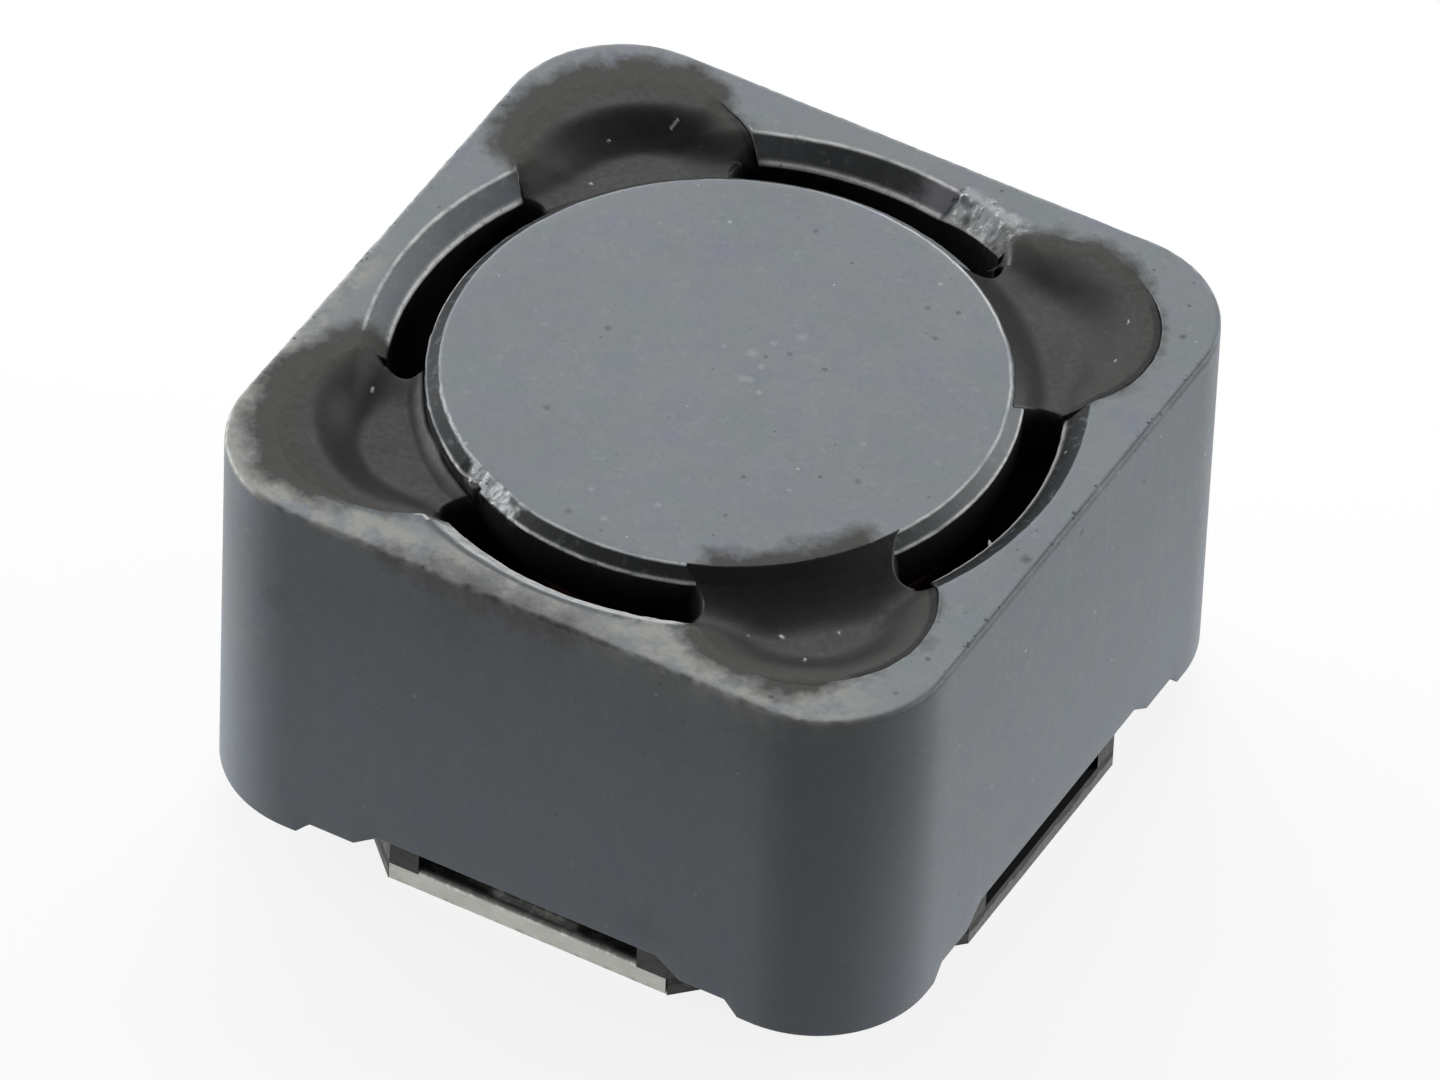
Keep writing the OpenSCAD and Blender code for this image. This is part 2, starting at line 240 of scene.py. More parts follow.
def settle(piece, slot, *nodes):
    """Ride on the one body and stand for the CAD nodes. The slot is not used."""
    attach(piece, "root")
    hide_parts(*nodes)


# ---------------- ring core

# Tags of the corners of the ring's section: the rim of the bore or a pocket, the bevel's upper edge, the
# top's outer edge, and the first row of the underside
RIM, LIP, EDGE, UNDERSIDE = 3, 4, 5, 7


def square_radius(theta, half, corner):
    """Distance from the axis to the side of a square with rounded corners, in direction theta."""
    c, s = np.abs(np.cos(theta)), np.abs(np.sin(theta))
    c, s = np.maximum(c, s), np.minimum(c, s)
    k = half - corner
    on_side = half * s / c <= k
    inside = np.maximum(corner ** 2 - (k * (c - s)) ** 2, 0)
    return np.where(on_side, half / c, k * (c + s) + np.sqrt(inside))


def pocket_edge(theta):
    """Distance from the axis to the outer side of the nearest pocket, or the bore where there is none."""
    off = (np.degrees(theta) % 90.0) - 45.0
    side = POCKET_REACH * np.sin(np.radians(off))
    inside = POCKET_R ** 2 - side ** 2
    far = POCKET_REACH * np.cos(np.radians(off)) + np.sqrt(np.maximum(inside, 0))
    return np.where(inside > 0, np.maximum(far, BORE_R), BORE_R)


def recess_rise(s):
    """Rise of the stepped recess above the feet, at the distance s from the middle of a side."""
    s = np.abs(s)
    outer = MOUTH_RISE * np.clip((MOUTH - s) / MOUTH_RUN, 0, 1)
    inner = INNER_RISE * np.clip((INNER - s) / INNER_RUN, 0, 1)
    return outer + inner


def ring_columns():
    """Directions of the ring's sections: even, with more at the pockets' ends, the break and the steps."""
    angles = list(np.arange(0, 360, 0.5))
    for middle in CORNERS.values():
        for end in (-21.2, 21.2):
            angles += list(middle + end + np.arange(-1.2, 1.21, 0.12))
    angles += list(np.arange(63.5, 81, 0.15))
    for side in (0, 90, 180, 270):
        for s in (MOUTH, MOUTH - MOUTH_RUN, INNER, INNER - INNER_RUN):
            step = math.degrees(math.atan2(s, HALF))
            angles += [side + step, side - step]
    return np.radians(np.unique(np.round(np.mod(angles, 360), 3)))


def ring_lines(theta):
    """Radii of the outer side, the bore or pocket, its rim and the bevel's upper edge; height of the rim."""
    degrees = np.degrees(theta)
    outer = square_radius(theta, HALF, CORNER_R)
    pocket = pocket_edge(theta)
    # The bevel's two edges wander a little, and are broken off over a short stretch
    wander = noise3(6 * np.cos(theta), 6 * np.sin(theta), 0, 1.2, 11)
    jag = noise3(6 * np.cos(theta), 6 * np.sin(theta), 0, 5.0, 12, 3)
    broken = stretch(degrees, 63.0, 67.0, 74.0, 82.0)
    bevel_line = BORE_R + BEVEL_W + WANDER * wander + JAG * jag + broken * (0.06 + 0.02 * jag)
    rim_r = pocket + broken * np.clip(0.08 + 0.02 * jag, 0.02, 0.2)
    rim_z = RING_TOP - np.clip((bevel_line - rim_r) * BEVEL_H / BEVEL_W, 0, BEVEL_H)
    rim_z = rim_z + JAG * jag * (pocket <= BORE_R)
    top_r = np.maximum(bevel_line, rim_r + 0.08)
    return outer, pocket, rim_r, rim_z, top_r


def ring_section(theta, lines):
    """Radius and height of the section's rows, up the bore, over the top and back below, and their tags."""
    outer, pocket, rim_r, rim_z, top_r = lines
    inset = outer - 0.12

    def bottom(radius):
        return FOOT_Z + np.maximum(recess_rise(radius * np.cos(theta)), recess_rise(radius * np.sin(theta)))

    corners = section_corners(theta, (BORE_R, bottom(BORE_R)), (BORE_R, POCKET_Z), (pocket, POCKET_Z),
                              (rim_r, rim_z), (top_r, RING_TOP), (outer, RING_TOP),
                              (outer, bottom(outer)), (inset, bottom(inset)))
    radii = [0, 0.03, 0.03, 0.045, 0.045, 0.10, 0.05, 0]
    arcs = [1, 3, 3, 5, 5, 7, 4, 1]
    edges = [4, 1, 3, 9, 26, 12, 1, 0]
    section, tags = rounded_sections(corners, radii, arcs, edges)
    under = 15
    rows = [section]
    for i in range(1, under):
        radius = inset + (BORE_R - inset) * i / under
        rows.append(np.stack([radius, bottom(radius)], 1)[:, None])
    section = np.concatenate(rows, axis=1)
    tags = np.concatenate([tags, UNDERSIDE + np.arange(1, under) / under])
    return section[..., 0], section[..., 1], tags[None, :]


def ring_layers(theta, lines, radius, x, y, z, tag):
    """Where the ring is worn with painted highlights, broken, painted with shade in its bevel and inside the
    gap, and scuffed, and where its edges crumbled.
    """
    outer, pocket, rim_r, _, top_r = lines
    degrees = np.degrees(theta)[:, None]
    in_bore = (pocket <= BORE_R)[:, None]
    bevelled = (pocket < BORE_R + BEVEL_W + 0.02)[:, None]
    front = smooth(-0.55, -0.75, np.sin(theta))[:, None] * in_bore
    chance = noise3(x, y, z, 1.6, 21)
    fleck = noise3(x, y, z, 9.0, 22, 2)
    inner_line = bump(tag, RIM + 0.04, 0.17) * in_bore
    bare_and_highlight = smooth(RIM - 0.05, RIM, tag) * smooth(LIP - 0.1, LIP - 0.25, tag) * front
    outer_line = bump(tag, LIP, 0.11) * bevelled * smooth(4.2, 3.4, x) * (1 - front)
    pocket_line = bump(tag, RIM, 0.14) * ~in_bore
    edge_line = bump(tag, EDGE, 0.12) * smooth(5.6, 5.0, x)
    # The pale worn edges are partly painted highlights; at the front the lower half of the bevel is painted
    # pale as wear and a painted highlight
    wear_and_highlight = (inner_line * (1.8 + 0.4 * chance + 0.3 * fleck) * (1 - 0.6 * front)
            + bare_and_highlight * (0.55 + 0.4 * fleck)
            + outer_line * (0.8 + 0.9 * chance + 0.4 * fleck)
            + edge_line * (0.25 + 0.5 * chance + 0.5 * fleck))

    # The top is scuffed along the front, at the near corners and on the left, and a little over its edge
    from_edge = outer[:, None] - radius
    front_band = smooth(0.9, 0.45, HALF + y) * smooth(3.4, 0.5, x)
    corner_band = smooth(0.75, 0.3, from_edge) * smooth(-3.0, -4.4, y) * smooth(5.8, 4.8, x)
    left_band = smooth(0.6, 0.2, from_edge) * smooth(-4.4, -5.2, x) * smooth(0.5, -1.0, y)
    on_top = (tag > LIP + 0.13) & (tag < EDGE + 0.1)
    over_edge = smooth(0.22, 0.05, RING_TOP - z) * smooth(0.3, 1.5, x) * smooth(5.6, 4.6, x)
    over_edge = over_edge * (y < -4.5) * (tag < EDGE + 1)
    scuffed = np.maximum(np.maximum(front_band, corner_band), left_band) * on_top
    scuffed = np.maximum(scuffed, over_edge)

    # A stretch of the bevel is broken off at the rear
    ragged = noise3(x, y, z, 3.0, 23, 4)
    along = degrees + 5.0 * ragged
    fresh = stretch(along, 64.5, 65.5, 78.5, 79.5) * smooth(RIM - 0.05, RIM + 0.05, tag)
    fresh = fresh * smooth(LIP + 0.36, LIP + 0.14, tag + 0.3 * ragged)

    # The painted shade in the bevel is dark at the rear and on the right, lighter on the left and gone near
    # the break, and leaves only a thin painted dark line above the bevel at the front
    shade = 0.35 + 0.65 * smooth(0.75, -0.1, np.cos(theta - math.radians(185)))
    shade = shade * smooth(-0.75, -0.55, np.sin(theta)) * (top_r - rim_r > 0.1)
    bevel_shade = stretch(tag, RIM + 0.05, RIM + 0.1, LIP - 0.1, LIP - 0.05) * shade[:, None]
    bevel_shade = np.maximum(bevel_shade, 0.9 * front * bump(tag, LIP + 0.06, 0.15))
    bevel_shade = bevel_shade * (1 - 0.85 * stretch(degrees, 61, 64, 79, 86))

    # The bore's wall inside the gap is painted near-black: painted shade
    gap_shade = np.broadcast_to(stretch(tag, 0.0, 0.2, RIM - 0.1, RIM), x.shape)
    crumbled = np.clip(inner_line + outer_line + 0.7 * edge_line + pocket_line, 0, 1)
    layers = {"wear_and_highlight": np.clip(wear_and_highlight, 0, 1), "fresh": fresh, "bevel_shade": bevel_shade, "gap_shade": gap_shade, "scuffed": scuffed}
    return layers, crumbled


def build_ring():
    theta = ring_columns()
    lines = ring_lines(theta)
    radius, z, tag = ring_section(theta, lines)
    x = radius * np.cos(theta)[:, None]
    y = radius * np.sin(theta)[:, None]
    layers, crumbled = ring_layers(theta, lines, radius, x, y, z, tag)

    # The pressed and ground surface isn't quite even, and its edges crumbled a little
    amount = (0.003 + 0.012 * crumbled) * ((tag > RIM - 1) & (tag < EDGE + 0.9))
    place = [x, y, z]
    for axis in range(3):
        shift = amount * noise3(*place, 6.0, 31 + axis, 4)
        shift = shift + 0.06 * layers["fresh"] * noise3(*place, 4.0, 36 + axis, 2)
        place[axis] = place[axis] + (np.minimum(shift, 0.0) if axis == 2 else shift)
    layers["glue"] = np.where(tag < EDGE + 0.08, glue_margin(place[0], place[1]), NO_GLUE)

    points = np.stack(place, axis=-1).reshape(-1, 3)
    ring = add_mesh("ring", points, grid_faces(*x.shape, True, True), layers)
    settle(ring, "ring_ferrite", "ring_core")
    return ring


def dull_bevel(piece, look, side, radii, heights):
    """Give the bevel on one side, right (1) or left (-1), a look of its own."""
    mesh = piece.data
    mesh.materials.append(look)
    centers = np.empty(len(mesh.polygons) * 3)
    mesh.polygons.foreach_get("center", centers)
    x, y, z = centers.reshape(-1, 3).T / MM
    around = np.hypot(x, y)
    start = 4.0 if side > 0 else 1.8
    index = (x * side > start) & (around > radii[0]) & (around < radii[1])
    index = index & (z > heights[0]) & (z < heights[1])
    mesh.polygons.foreach_set("material_index", index.astype(np.int32))


# ---------------- drum core

# Tags of the corners of the drum's section: the disc's edge, the rim below its bevel, and the lower flange's
# lower edge
DISC_EDGE, FLANGE_RIM, FLANGE_FOOT = 1, 2, 7


def notch_edge(theta):
    """Radius of the lower flange: less where the two notches for the leads are."""
    side = np.abs(np.cos(theta))
    half = np.arcsin(NOTCH_W / 2 / FLANGE_R)
    inside = side < np.sin(half)
    return np.where(inside, NOTCH_R / np.maximum(np.abs(np.sin(theta)), 0.1), FLANGE_R)


def drum_columns():
    """Directions of the drum's sections, in degrees: even, with more at the chip and the notches."""
    angles = list(np.arange(0, 360, 0.5)) + list(np.arange(216, 256, 0.2))
    half = math.degrees(math.asin(NOTCH_W / 2 / FLANGE_R))
    for side in (90, 270):
        angles += [side + half - 0.02, side + half + 0.02, side - half - 0.02, side - half + 0.02]
    return np.unique(np.round(np.mod(angles, 360), 3))


def drum_section(degrees):
    """Radius and height of the section's rows, from the middle of the top to that of the foot, and tags."""
    theta = np.radians(degrees)
    wander = noise3(5 * np.cos(theta), 5 * np.sin(theta), 3, 1.3, 41)
    jag = noise3(5 * np.cos(theta), 5 * np.sin(theta), 3, 5.0, 42, 3)
    chip = stretch(degrees, 237, 241, 250, 256)
    disc_r = FLANGE_R - RIM_W + WANDER * wander + JAG * jag - chip * (0.03 + 0.02 * jag)
    rim_r = FLANGE_R - chip * (0.05 + 0.02 * jag)
    rim_z = DRUM_TOP - RIM_H - JAG * np.abs(jag) - chip * (0.03 + 0.02 * jag)
    low_r = notch_edge(theta)
    under_z = DRUM_TOP - FLANGE_T
    over_z = DRUM_Z + FLANGE_T
    corners = section_corners(theta, (0, DRUM_TOP), (disc_r, DRUM_TOP), (rim_r, rim_z), (FLANGE_R, under_z),
                              (POST_R, under_z), (POST_R, over_z), (low_r, over_z), (low_r, DRUM_Z),
                              (0, DRUM_Z))
    radii = [0, 0.035, 0.045, 0.08, 0.1, 0.1, 0.06, 0.08, 0]
    arcs = [1, 5, 5, 4, 4, 4, 3, 4, 1]
    edges = [30, 7, 6, 3, 4, 3, 3, 6, 0]
    section, tags = rounded_sections(corners, radii, arcs, edges)
    return section[..., 0], section[..., 1], tags[None, :]


def drum_layers(degrees, radius, x, y, z, tag):
    """Where the drum is worn with painted highlights, broken, painted with shade on its bevel and inside the
    gap, and glued, and how far its surface strays.
    """
    theta = np.radians(degrees)
    chance = noise3(x, y, z, 1.5, 51)
    fleck = noise3(x, y, z, 9.0, 52, 2)
    ragged = noise3(x, y, z, 3.0, 53, 4)
    disc_line = bump(tag, DISC_EDGE, 0.11)
    rim_line = bump(tag, FLANGE_RIM, 0.12)
    left = smooth(-0.1, 0.4, np.cos(theta - math.radians(175)))[:, None]
    filmed = stretch(degrees, 190, 200, 225, 238)[:, None]
    # The pale worn edges are partly painted highlights
    wear_and_highlight = (disc_line * (0.75 + 0.7 * chance + 0.3 * fleck) * (1 - 0.8 * left)
            + rim_line * (1.1 + 0.8 * chance + 0.9 * fleck) * (1 - 0.8 * filmed))

    # The rim is chipped at the front left, and the disc's edge beside the chip is bare
    along = degrees[:, None] + 7.0 * ragged
    fresh = stretch(along, 237, 239, 251, 253)
    fresh = fresh * smooth(DISC_EDGE - 0.03, DISC_EDGE - 0.015, tag + 0.01 * ragged)
    fresh = fresh * smooth(FLANGE_RIM + 0.15, FLANGE_RIM, tag)
    line = stretch(degrees, 214, 218, 238, 242)
    fresh = np.maximum(fresh, 0.9 * line[:, None] * bump(tag, DISC_EDGE + 0.02, 0.13))

    # Painted shade on the bevel: dark on the left and at the front
    shade = 0.35 + 0.65 * smooth(-0.1, 0.9, np.cos(theta - math.radians(288)))
    shade = np.maximum(shade[:, None], left)
    bevel_shade = smooth(DISC_EDGE + 0.05, DISC_EDGE + 0.1, tag) * shade
    bevel_shade = bevel_shade * (1 - smooth(FLANGE_RIM - 0.1, FLANGE_RIM - 0.05, tag))

    # The front right fillet runs on over the disc
    around = np.degrees(np.arctan2(y, x)) % 360
    disc_glue = radius - (3.93 + 0.03 * noise3(x, y, 0, 2.0, 55))
    end_glue = np.minimum(around - 294.5, 331.5 - around) * math.pi / 180 * radius
    glue = np.where(tag < FLANGE_RIM - 0.05, np.minimum(disc_glue, end_glue), NO_GLUE)

    # The flanges' walls and the post inside the gap are painted near-black: painted shade
    gap_shade = stretch(tag, FLANGE_RIM, FLANGE_RIM + 0.1, FLANGE_FOOT - 0.1, FLANGE_FOOT + 0.1)
    layers = {"wear_and_highlight": np.clip(wear_and_highlight, 0, 1), "fresh": fresh, "bevel_shade": bevel_shade, "glue": glue,
              "gap_shade": np.broadcast_to(gap_shade, x.shape), "scuffed": np.zeros(x.shape)}
    amount = 0.008 * disc_line + (0.010 + 0.022 * smooth(0.5, -3.0, y)) * rim_line + 0.04 * fresh
    return layers, amount * (tag < FLANGE_RIM + 0.9)


def build_drum():
    degrees = drum_columns()
    theta = np.radians(degrees)
    radius, z, tag = drum_section(degrees)
    x = radius * np.cos(theta)[:, None]
    y = radius * np.sin(theta)[:, None]
    layers, amount = drum_layers(degrees, radius, x, y, z, tag)
    shift = [amount * noise3(x, y, z, 6.0, 61 + axis, 4) for axis in range(3)]
    points = np.stack([x + shift[0], y + shift[1], z + np.minimum(shift[2], 0.0)], axis=-1).reshape(-1, 3)
    drum = add_mesh("drum", points, grid_faces(*x.shape), layers)
    settle(drum, "drum_ferrite", "drum_core")
    return drum


# ---------------- epoxy fillets

FILLETS = {
    # ends: where the fillet ends in the gap, in degrees; spread: least and most reach of the film beyond the
    # pocket, the most in the direction toward, growing between two cosines (fade); low_r: radius of the
    # lowest line; depth: depth of the dish there; slope: where its outer wall starts and ends, away from the
    # low line; disc_r: radius to which it covers the drum; reach, meet: width of its rise to the drum's rim,
    # and the height there from the ring's top; light: where it starts and ends turning as light as the film,
    # away from the pocket's centre, and how fully
    "front_right": dict(ends=(-66, -26.5), spread=(0.0, 0.40), toward=267, fade=(0.6, 0.9),
                        low_r=5.15, depth=0.42, slope=(0.55, 1.6), reach=0.85, disc_r=4.24, meet=-0.068,
                        light=(1.2, 1.7, 1.05), seed=101),
    "rear_right": dict(ends=(23.5, 63), spread=(0.0, 0.30), toward=115, fade=(0.2, 1.1),
                       low_r=4.90, depth=0.24, slope=(0.45, 1.5), reach=0.4, disc_r=4.31, meet=-0.068,
                       light=(1.2, 1.7, 0.88), seed=102),
    "rear_left": dict(ends=(117, 156), spread=(0.02, 0.55), toward=145, fade=(0.2, 0.6),
                      low_r=4.80, depth=0.38, slope=(0.60, 1.5), reach=0.3, disc_r=4.31, meet=-0.068,
                      light=(1.2, 1.7, 0.88), seed=103),
    "front_left": dict(ends=(206, 243), spread=(0.10, 0.62), toward=190, fade=(0.0, 0.75),
                       low_r=4.80, depth=0.42, slope=(0.70, 1.6), reach=0.3, disc_r=4.53, meet=-0.24,
                       light=(1.35, 1.8, 0.95), seed=104),
}

# Bright fragments on the epoxy: both ends and the half width of each
SPECKS = [(3.30, -4.12, 3.32, -4.13, 0.045), (3.85, -4.38, 3.88, -4.45, 0.018),
          (3.98, -3.58, 4.00, -3.62, 0.018), (2.89, -4.37, 2.91, -4.41, 0.015),
          (-4.04, 3.02, -4.05, 3.03, 0.035), (-3.52, 4.54, -3.49, 4.70, 0.018),
          (-4.23, 3.87, -4.22, 3.90, 0.018), (-4.52, -2.72, -4.50, -2.78, 0.028),
          (4.56, 4.28, 4.58, 4.22, 0.015), (4.79, 3.44, 4.80, 3.40, 0.015)]


def film_reach(spec, px, py):
    """Distance from the pocket's centre to which the film reaches, in the direction of (px, py)."""
    facing = np.cos(np.arctan2(py, px) - math.radians(spec["toward"]))
    least, most = spec["spread"]
    return POCKET_R + least + (most - least) * smooth(*spec["fade"], facing)


def pocket_centre(name):
    angle = math.radians(CORNERS[name])
    return POCKET_REACH * math.cos(angle), POCKET_REACH * math.sin(angle)


def glue_margin(x, y):
    """Distance by which (x, y) lies inside the outline of the film that spread over the ring's top."""
    best = np.full(np.shape(x), NO_GLUE)
    for name, spec in FILLETS.items():
        cx, cy = pocket_centre(name)
        best = np.maximum(best, film_reach(spec, x - cx, y - cy) - np.hypot(x - cx, y - cy))
    return best


def speck_mask(x, y):
    mask = np.zeros_like(x)
    for x0, y0, x1, y1, half in SPECKS:
        dx, dy = x1 - x0, y1 - y0
        along = np.clip(((x - x0) * dx + (y - y0) * dy) / (dx * dx + dy * dy), 0, 1)
        off = np.hypot(x - x0 - along * dx, y - y0 - along * dy)
        mask = np.maximum(mask, smooth(half, 0.3 * half, off))
    return mask


def dish(spec, x, y, radius, side, spread):
    """Height of the dish: a flat bottom, a wall up to the ring's top, and a rise to the drum's rim."""
    ripple = noise3(x, y, 0, 0.9, spec["seed"], 2)
    low_r = spec["low_r"] + 0.05 * ripple
    base = RING_TOP - spec["depth"] + 0.02 * ripple
    covered = smooth(0.0, 0.9, spread / max(spec["spread"]))
    sunk = 0.16 * smooth(BORE_R + BEVEL_W + 0.1, BORE_R - 0.1, radius)
    top_z = RING_TOP - 0.035 + 0.041 * covered - sunk
    rho = np.hypot(np.maximum(radius - low_r, 0), 0.8 * side) + 0.05 * ripple
    wall = smooth(*spec["slope"], rho) * (0.35 + 0.65 * smooth(BORE_R - 0.5, BORE_R + 0.5, radius))
    z = base + (top_z - base) * wall
    climb = np.clip((FLANGE_R + spec["reach"] - radius) / spec["reach"], 0, 1)
    return z + (RING_TOP + spec["meet"] - z) * climb ** 1.7


def tuck_under(spec, x, y, z, radius, away, spread, ring_z):
    """Let the surface dip under the ferrite at its outlines: the pocket's rim and the drum's bevel."""
    free = smooth(0.0, 0.1, spread)
    over = smooth(POCKET_R - 0.03 + 0.06 * free, POCKET_R + 0.03 + 0.20 * free, away) * (radius > BORE_R)
    z = z + (np.minimum(ring_z, z) - 0.03 + 0.018 * free - z) * over
    disc_edge = spec["disc_r"] + 0.025 * noise3(x, y, 0, 3.0, spec["seed"] + 4, 3)
    return z - 0.08 * smooth(0.03, -0.05, radius - disc_edge)


def shape_ends(spec, z, degrees, radius):
    """Shape the ends in the gap: hollow between the two walls, with a rounded edge."""
    seed = spec["seed"]
    first, last = spec["ends"]
    wave = 0.05 * noise3(radius, seed, 0, 2.5, seed + 5, 2)
    cling = (2 * radius - FLANGE_R - BORE_R) / (BORE_R - FLANGE_R)
    end = np.minimum(degrees - first, last - degrees) * math.pi / 180 * radius + wave + 0.12 * cling ** 2
    deep_z = RING_TOP - 1.15
    rounding = np.sqrt(1 - (1 - np.clip(end / 0.16, 0, 1)) ** 2)
    z = np.where(radius < BORE_R, deep_z + (z - deep_z) * rounding, z)
    shoulder = smooth(BORE_R + 0.4, BORE_R, radius) * smooth(0.25, -0.25, end)
    return np.where(radius < BORE_R, z, z - 0.4 * shoulder)


def build_epoxy(name):
    spec = FILLETS[name]
    middle = CORNERS[name]
    columns, radial = 170, 120
    degrees = np.linspace(middle - 23.2, middle + 23.2, columns)[:, None]
    theta = np.radians(degrees)
    inner = spec["disc_r"] - 0.12
    radius = inner + (pocket_edge(theta) + 0.26 - inner) * np.linspace(0, 1, radial)[None, :]
    x, y = radius * np.cos(theta), radius * np.sin(theta)
    cx, cy = pocket_centre(name)
    away = np.hypot(x - cx, y - cy)
    spread = film_reach(spec, x - cx, y - cy) - POCKET_R
    side = 5.0 * np.radians(degrees - middle)

    ring_z = RING_TOP - BEVEL_H * np.clip((BORE_R + BEVEL_W - radius) / BEVEL_W, 0, 1)
    on_bevel = DRUM_TOP - RIM_H * np.clip((radius - FLANGE_R + RIM_W) / RIM_W, 0, 1) + 0.012
    z = np.where(radius < FLANGE_R, on_bevel, dish(spec, x, y, radius, side, spread))
    z = z + 0.004 * noise3(x, y, 0, 3.0, spec["seed"] + 1, 2) * (radius > FLANGE_R)
    z = tuck_under(spec, x, y, z, radius, away, spread, ring_z)
    z = shape_ends(spec, z, degrees, radius)
    specks = speck_mask(x, y)
    z = z + 0.015 * specks

    # The surface is closed below by another, just over the ferrite or deep in the gap
    floor_z = np.where(radius < FLANGE_R, on_bevel - 0.05,
                       np.where(radius < BORE_R, RING_TOP - 1.2,
                                np.where(away < POCKET_R, POCKET_Z + 0.01, ring_z - 0.06)))
    under_z = np.minimum(floor_z, z - 0.02)
    top = np.stack([x, y, z], axis=-1)
    bottom = np.stack([x, y, under_z], axis=-1)[:, ::-1]
    loop = np.concatenate([top, bottom], axis=1)
    count = loop.shape[1]
    faces = grid_faces(columns, count, False, True)
    faces.append(tuple(range(count - 1, -1, -1)))
    faces.append(tuple((columns - 1) * count + i for i in range(count)))

    def both(values):
        return np.concatenate([values, values[:, ::-1]], axis=1)

    # Painted shade: a near-black line where the fillet meets the pocket's wall and no film spreads over the
    # ring
    crevice_shade = smooth(POCKET_R - 0.15, POCKET_R - 0.10, away) * smooth(0.06, 0.0, spread)
    crevice_shade = crevice_shade * (radius > BORE_R + 0.1)
    starts, ends, share = spec["light"]
    film = share * smooth(starts, ends, away) * smooth(BORE_R - 0.1, BORE_R + 0.4, radius)
    layers = {"crevice_shade": both(crevice_shade), "speck": both(specks), "film": both(film)}
    piece = add_mesh("epoxy." + name, loop.reshape(-1, 3), faces, layers, sharp=60, merge=1e-5)
    settle(piece, "fillet_epoxy", "epoxy_" + name)
    return piece


# ---------------- winding

def unit(v):
    return v / np.linalg.norm(v)


def wire_path():
    """Centre line of the wire: up one lead, two layers of turns, and down the other lead."""
    lead_bend = 0.1 + WIRE_R
    plate_top = plate_high[2]
    lip_top = plate_top + 0.1
    lead_z = lip_top + 0.02 + WIRE_R
    coil_z = DRUM_Z + FLANGE_T + 0.02 + WIRE_R
    inner = POST_R + 0.02 + WIRE_R + 0.02
    outer = inner + PITCH + 0.03
    drop = BORE_R - BORE_CLEAR - WIRE_R
    lead_end = FLANGE_R + LIP_GAP + LEAD_LAND
    turns = [min(0.4, ((drop - lead_bend) ** 2 - r * r) / (2 * r)) for r in (inner, outer)]
    leave = [math.sqrt((r + turn) ** 2 - turn ** 2) for r, turn in zip((inner, outer), turns)]
    swing = [math.degrees(math.asin(turn / (r + turn))) for r, turn in zip((inner, outer), turns)]

    def polar(r, angle, z):
        a = math.radians(angle)
        return [r * math.cos(a), r * math.sin(a), z]

    def lead(angle):
        path = [polar(lead_end, angle, lead_z)]
        bends = [math.radians(90 * i / 8) for i in range(9)]
        for f in bends:
            path.append(polar(drop + lead_bend * (1 - math.sin(f)), angle,
                              lead_z + lead_bend * (1 - math.cos(f))))
        for f in bends:
            path.append(polar(drop - lead_bend * (1 - math.cos(f)), angle,
                              coil_z - lead_bend * (1 - math.sin(f))))
        return path

    def turn_off(k, angle, side):
        c, s = math.cos(math.radians(angle)), math.sin(math.radians(angle))
        path = []
        turn = turns[k]
        for i in range(9):
            f = math.radians((90 - swing[k]) * i / 8)
            u = leave[k] - turn * math.sin(f)
            v = turn * (1 - math.cos(f))
            path.append([u * c - side * v * s, u * s + side * v * c, coil_z])
        return path

    path = lead(-90) + turn_off(0, -90, 1)
    angle = -90 + swing[0]
    step = 5.0
    top_z = coil_z + (LEVELS - 1) * PITCH
    for i in range(1, int((LEVELS - 1) * 360 / step) + 1):
        path.append(polar(inner, angle + i * step, coil_z + i * step * PITCH / 360))
    for i in range(1, int(90 / step) + 1):
        f = i * step / 90
        path.append(polar(inner + (outer - inner) * f, angle + i * step, top_z))
    start = angle + 90
    total = 270 - start + 360 * (LEVELS - 3)
    count = math.ceil(total / step)
    second_z = coil_z + PITCH
    for i in range(1, count + 1):
        path.append(polar(outer, start + total * i / count, top_z - (top_z - second_z) * i / count))
    total = 180 - 30 - swing[1]
    count = math.ceil(total / step)
    for i in range(count):
        path.append(polar(outer, -60 + total * i / count, second_z - PITCH * i / count))
    path += turn_off(1, 90, -1)[::-1] + lead(90)[::-1]
    return np.array(path)


def build_winding():
    path = wire_path()
    keep = [0] + [i for i in range(1, len(path)) if np.linalg.norm(path[i] - path[i - 1]) > 1e-4]
    path = path[keep]
    sides = 16
    side = np.array([1.0, 0.0, 0.0])
    points = []
    for i in range(len(path)):
        along = unit(path[min(i + 1, len(path) - 1)] - path[max(i - 1, 0)])
        side = unit(side - side.dot(along) * along)
        other = np.cross(along, side)
        for k in range(sides):
            f = 2 * math.pi * k / sides
            points.append(path[i] + WIRE_R * (math.cos(f) * side + math.sin(f) * other))
    faces = grid_faces(len(path), sides, False, True)
    last = (len(path) - 1) * sides
    faces.append(tuple(range(sides - 1, -1, -1)))
    faces.append(tuple(last + k for k in range(sides)))
    piece = add_mesh("wire", points, faces, sharp=60)
    settle(piece, "enamelled_copper", "winding")
    return piece


# ---------------- materials

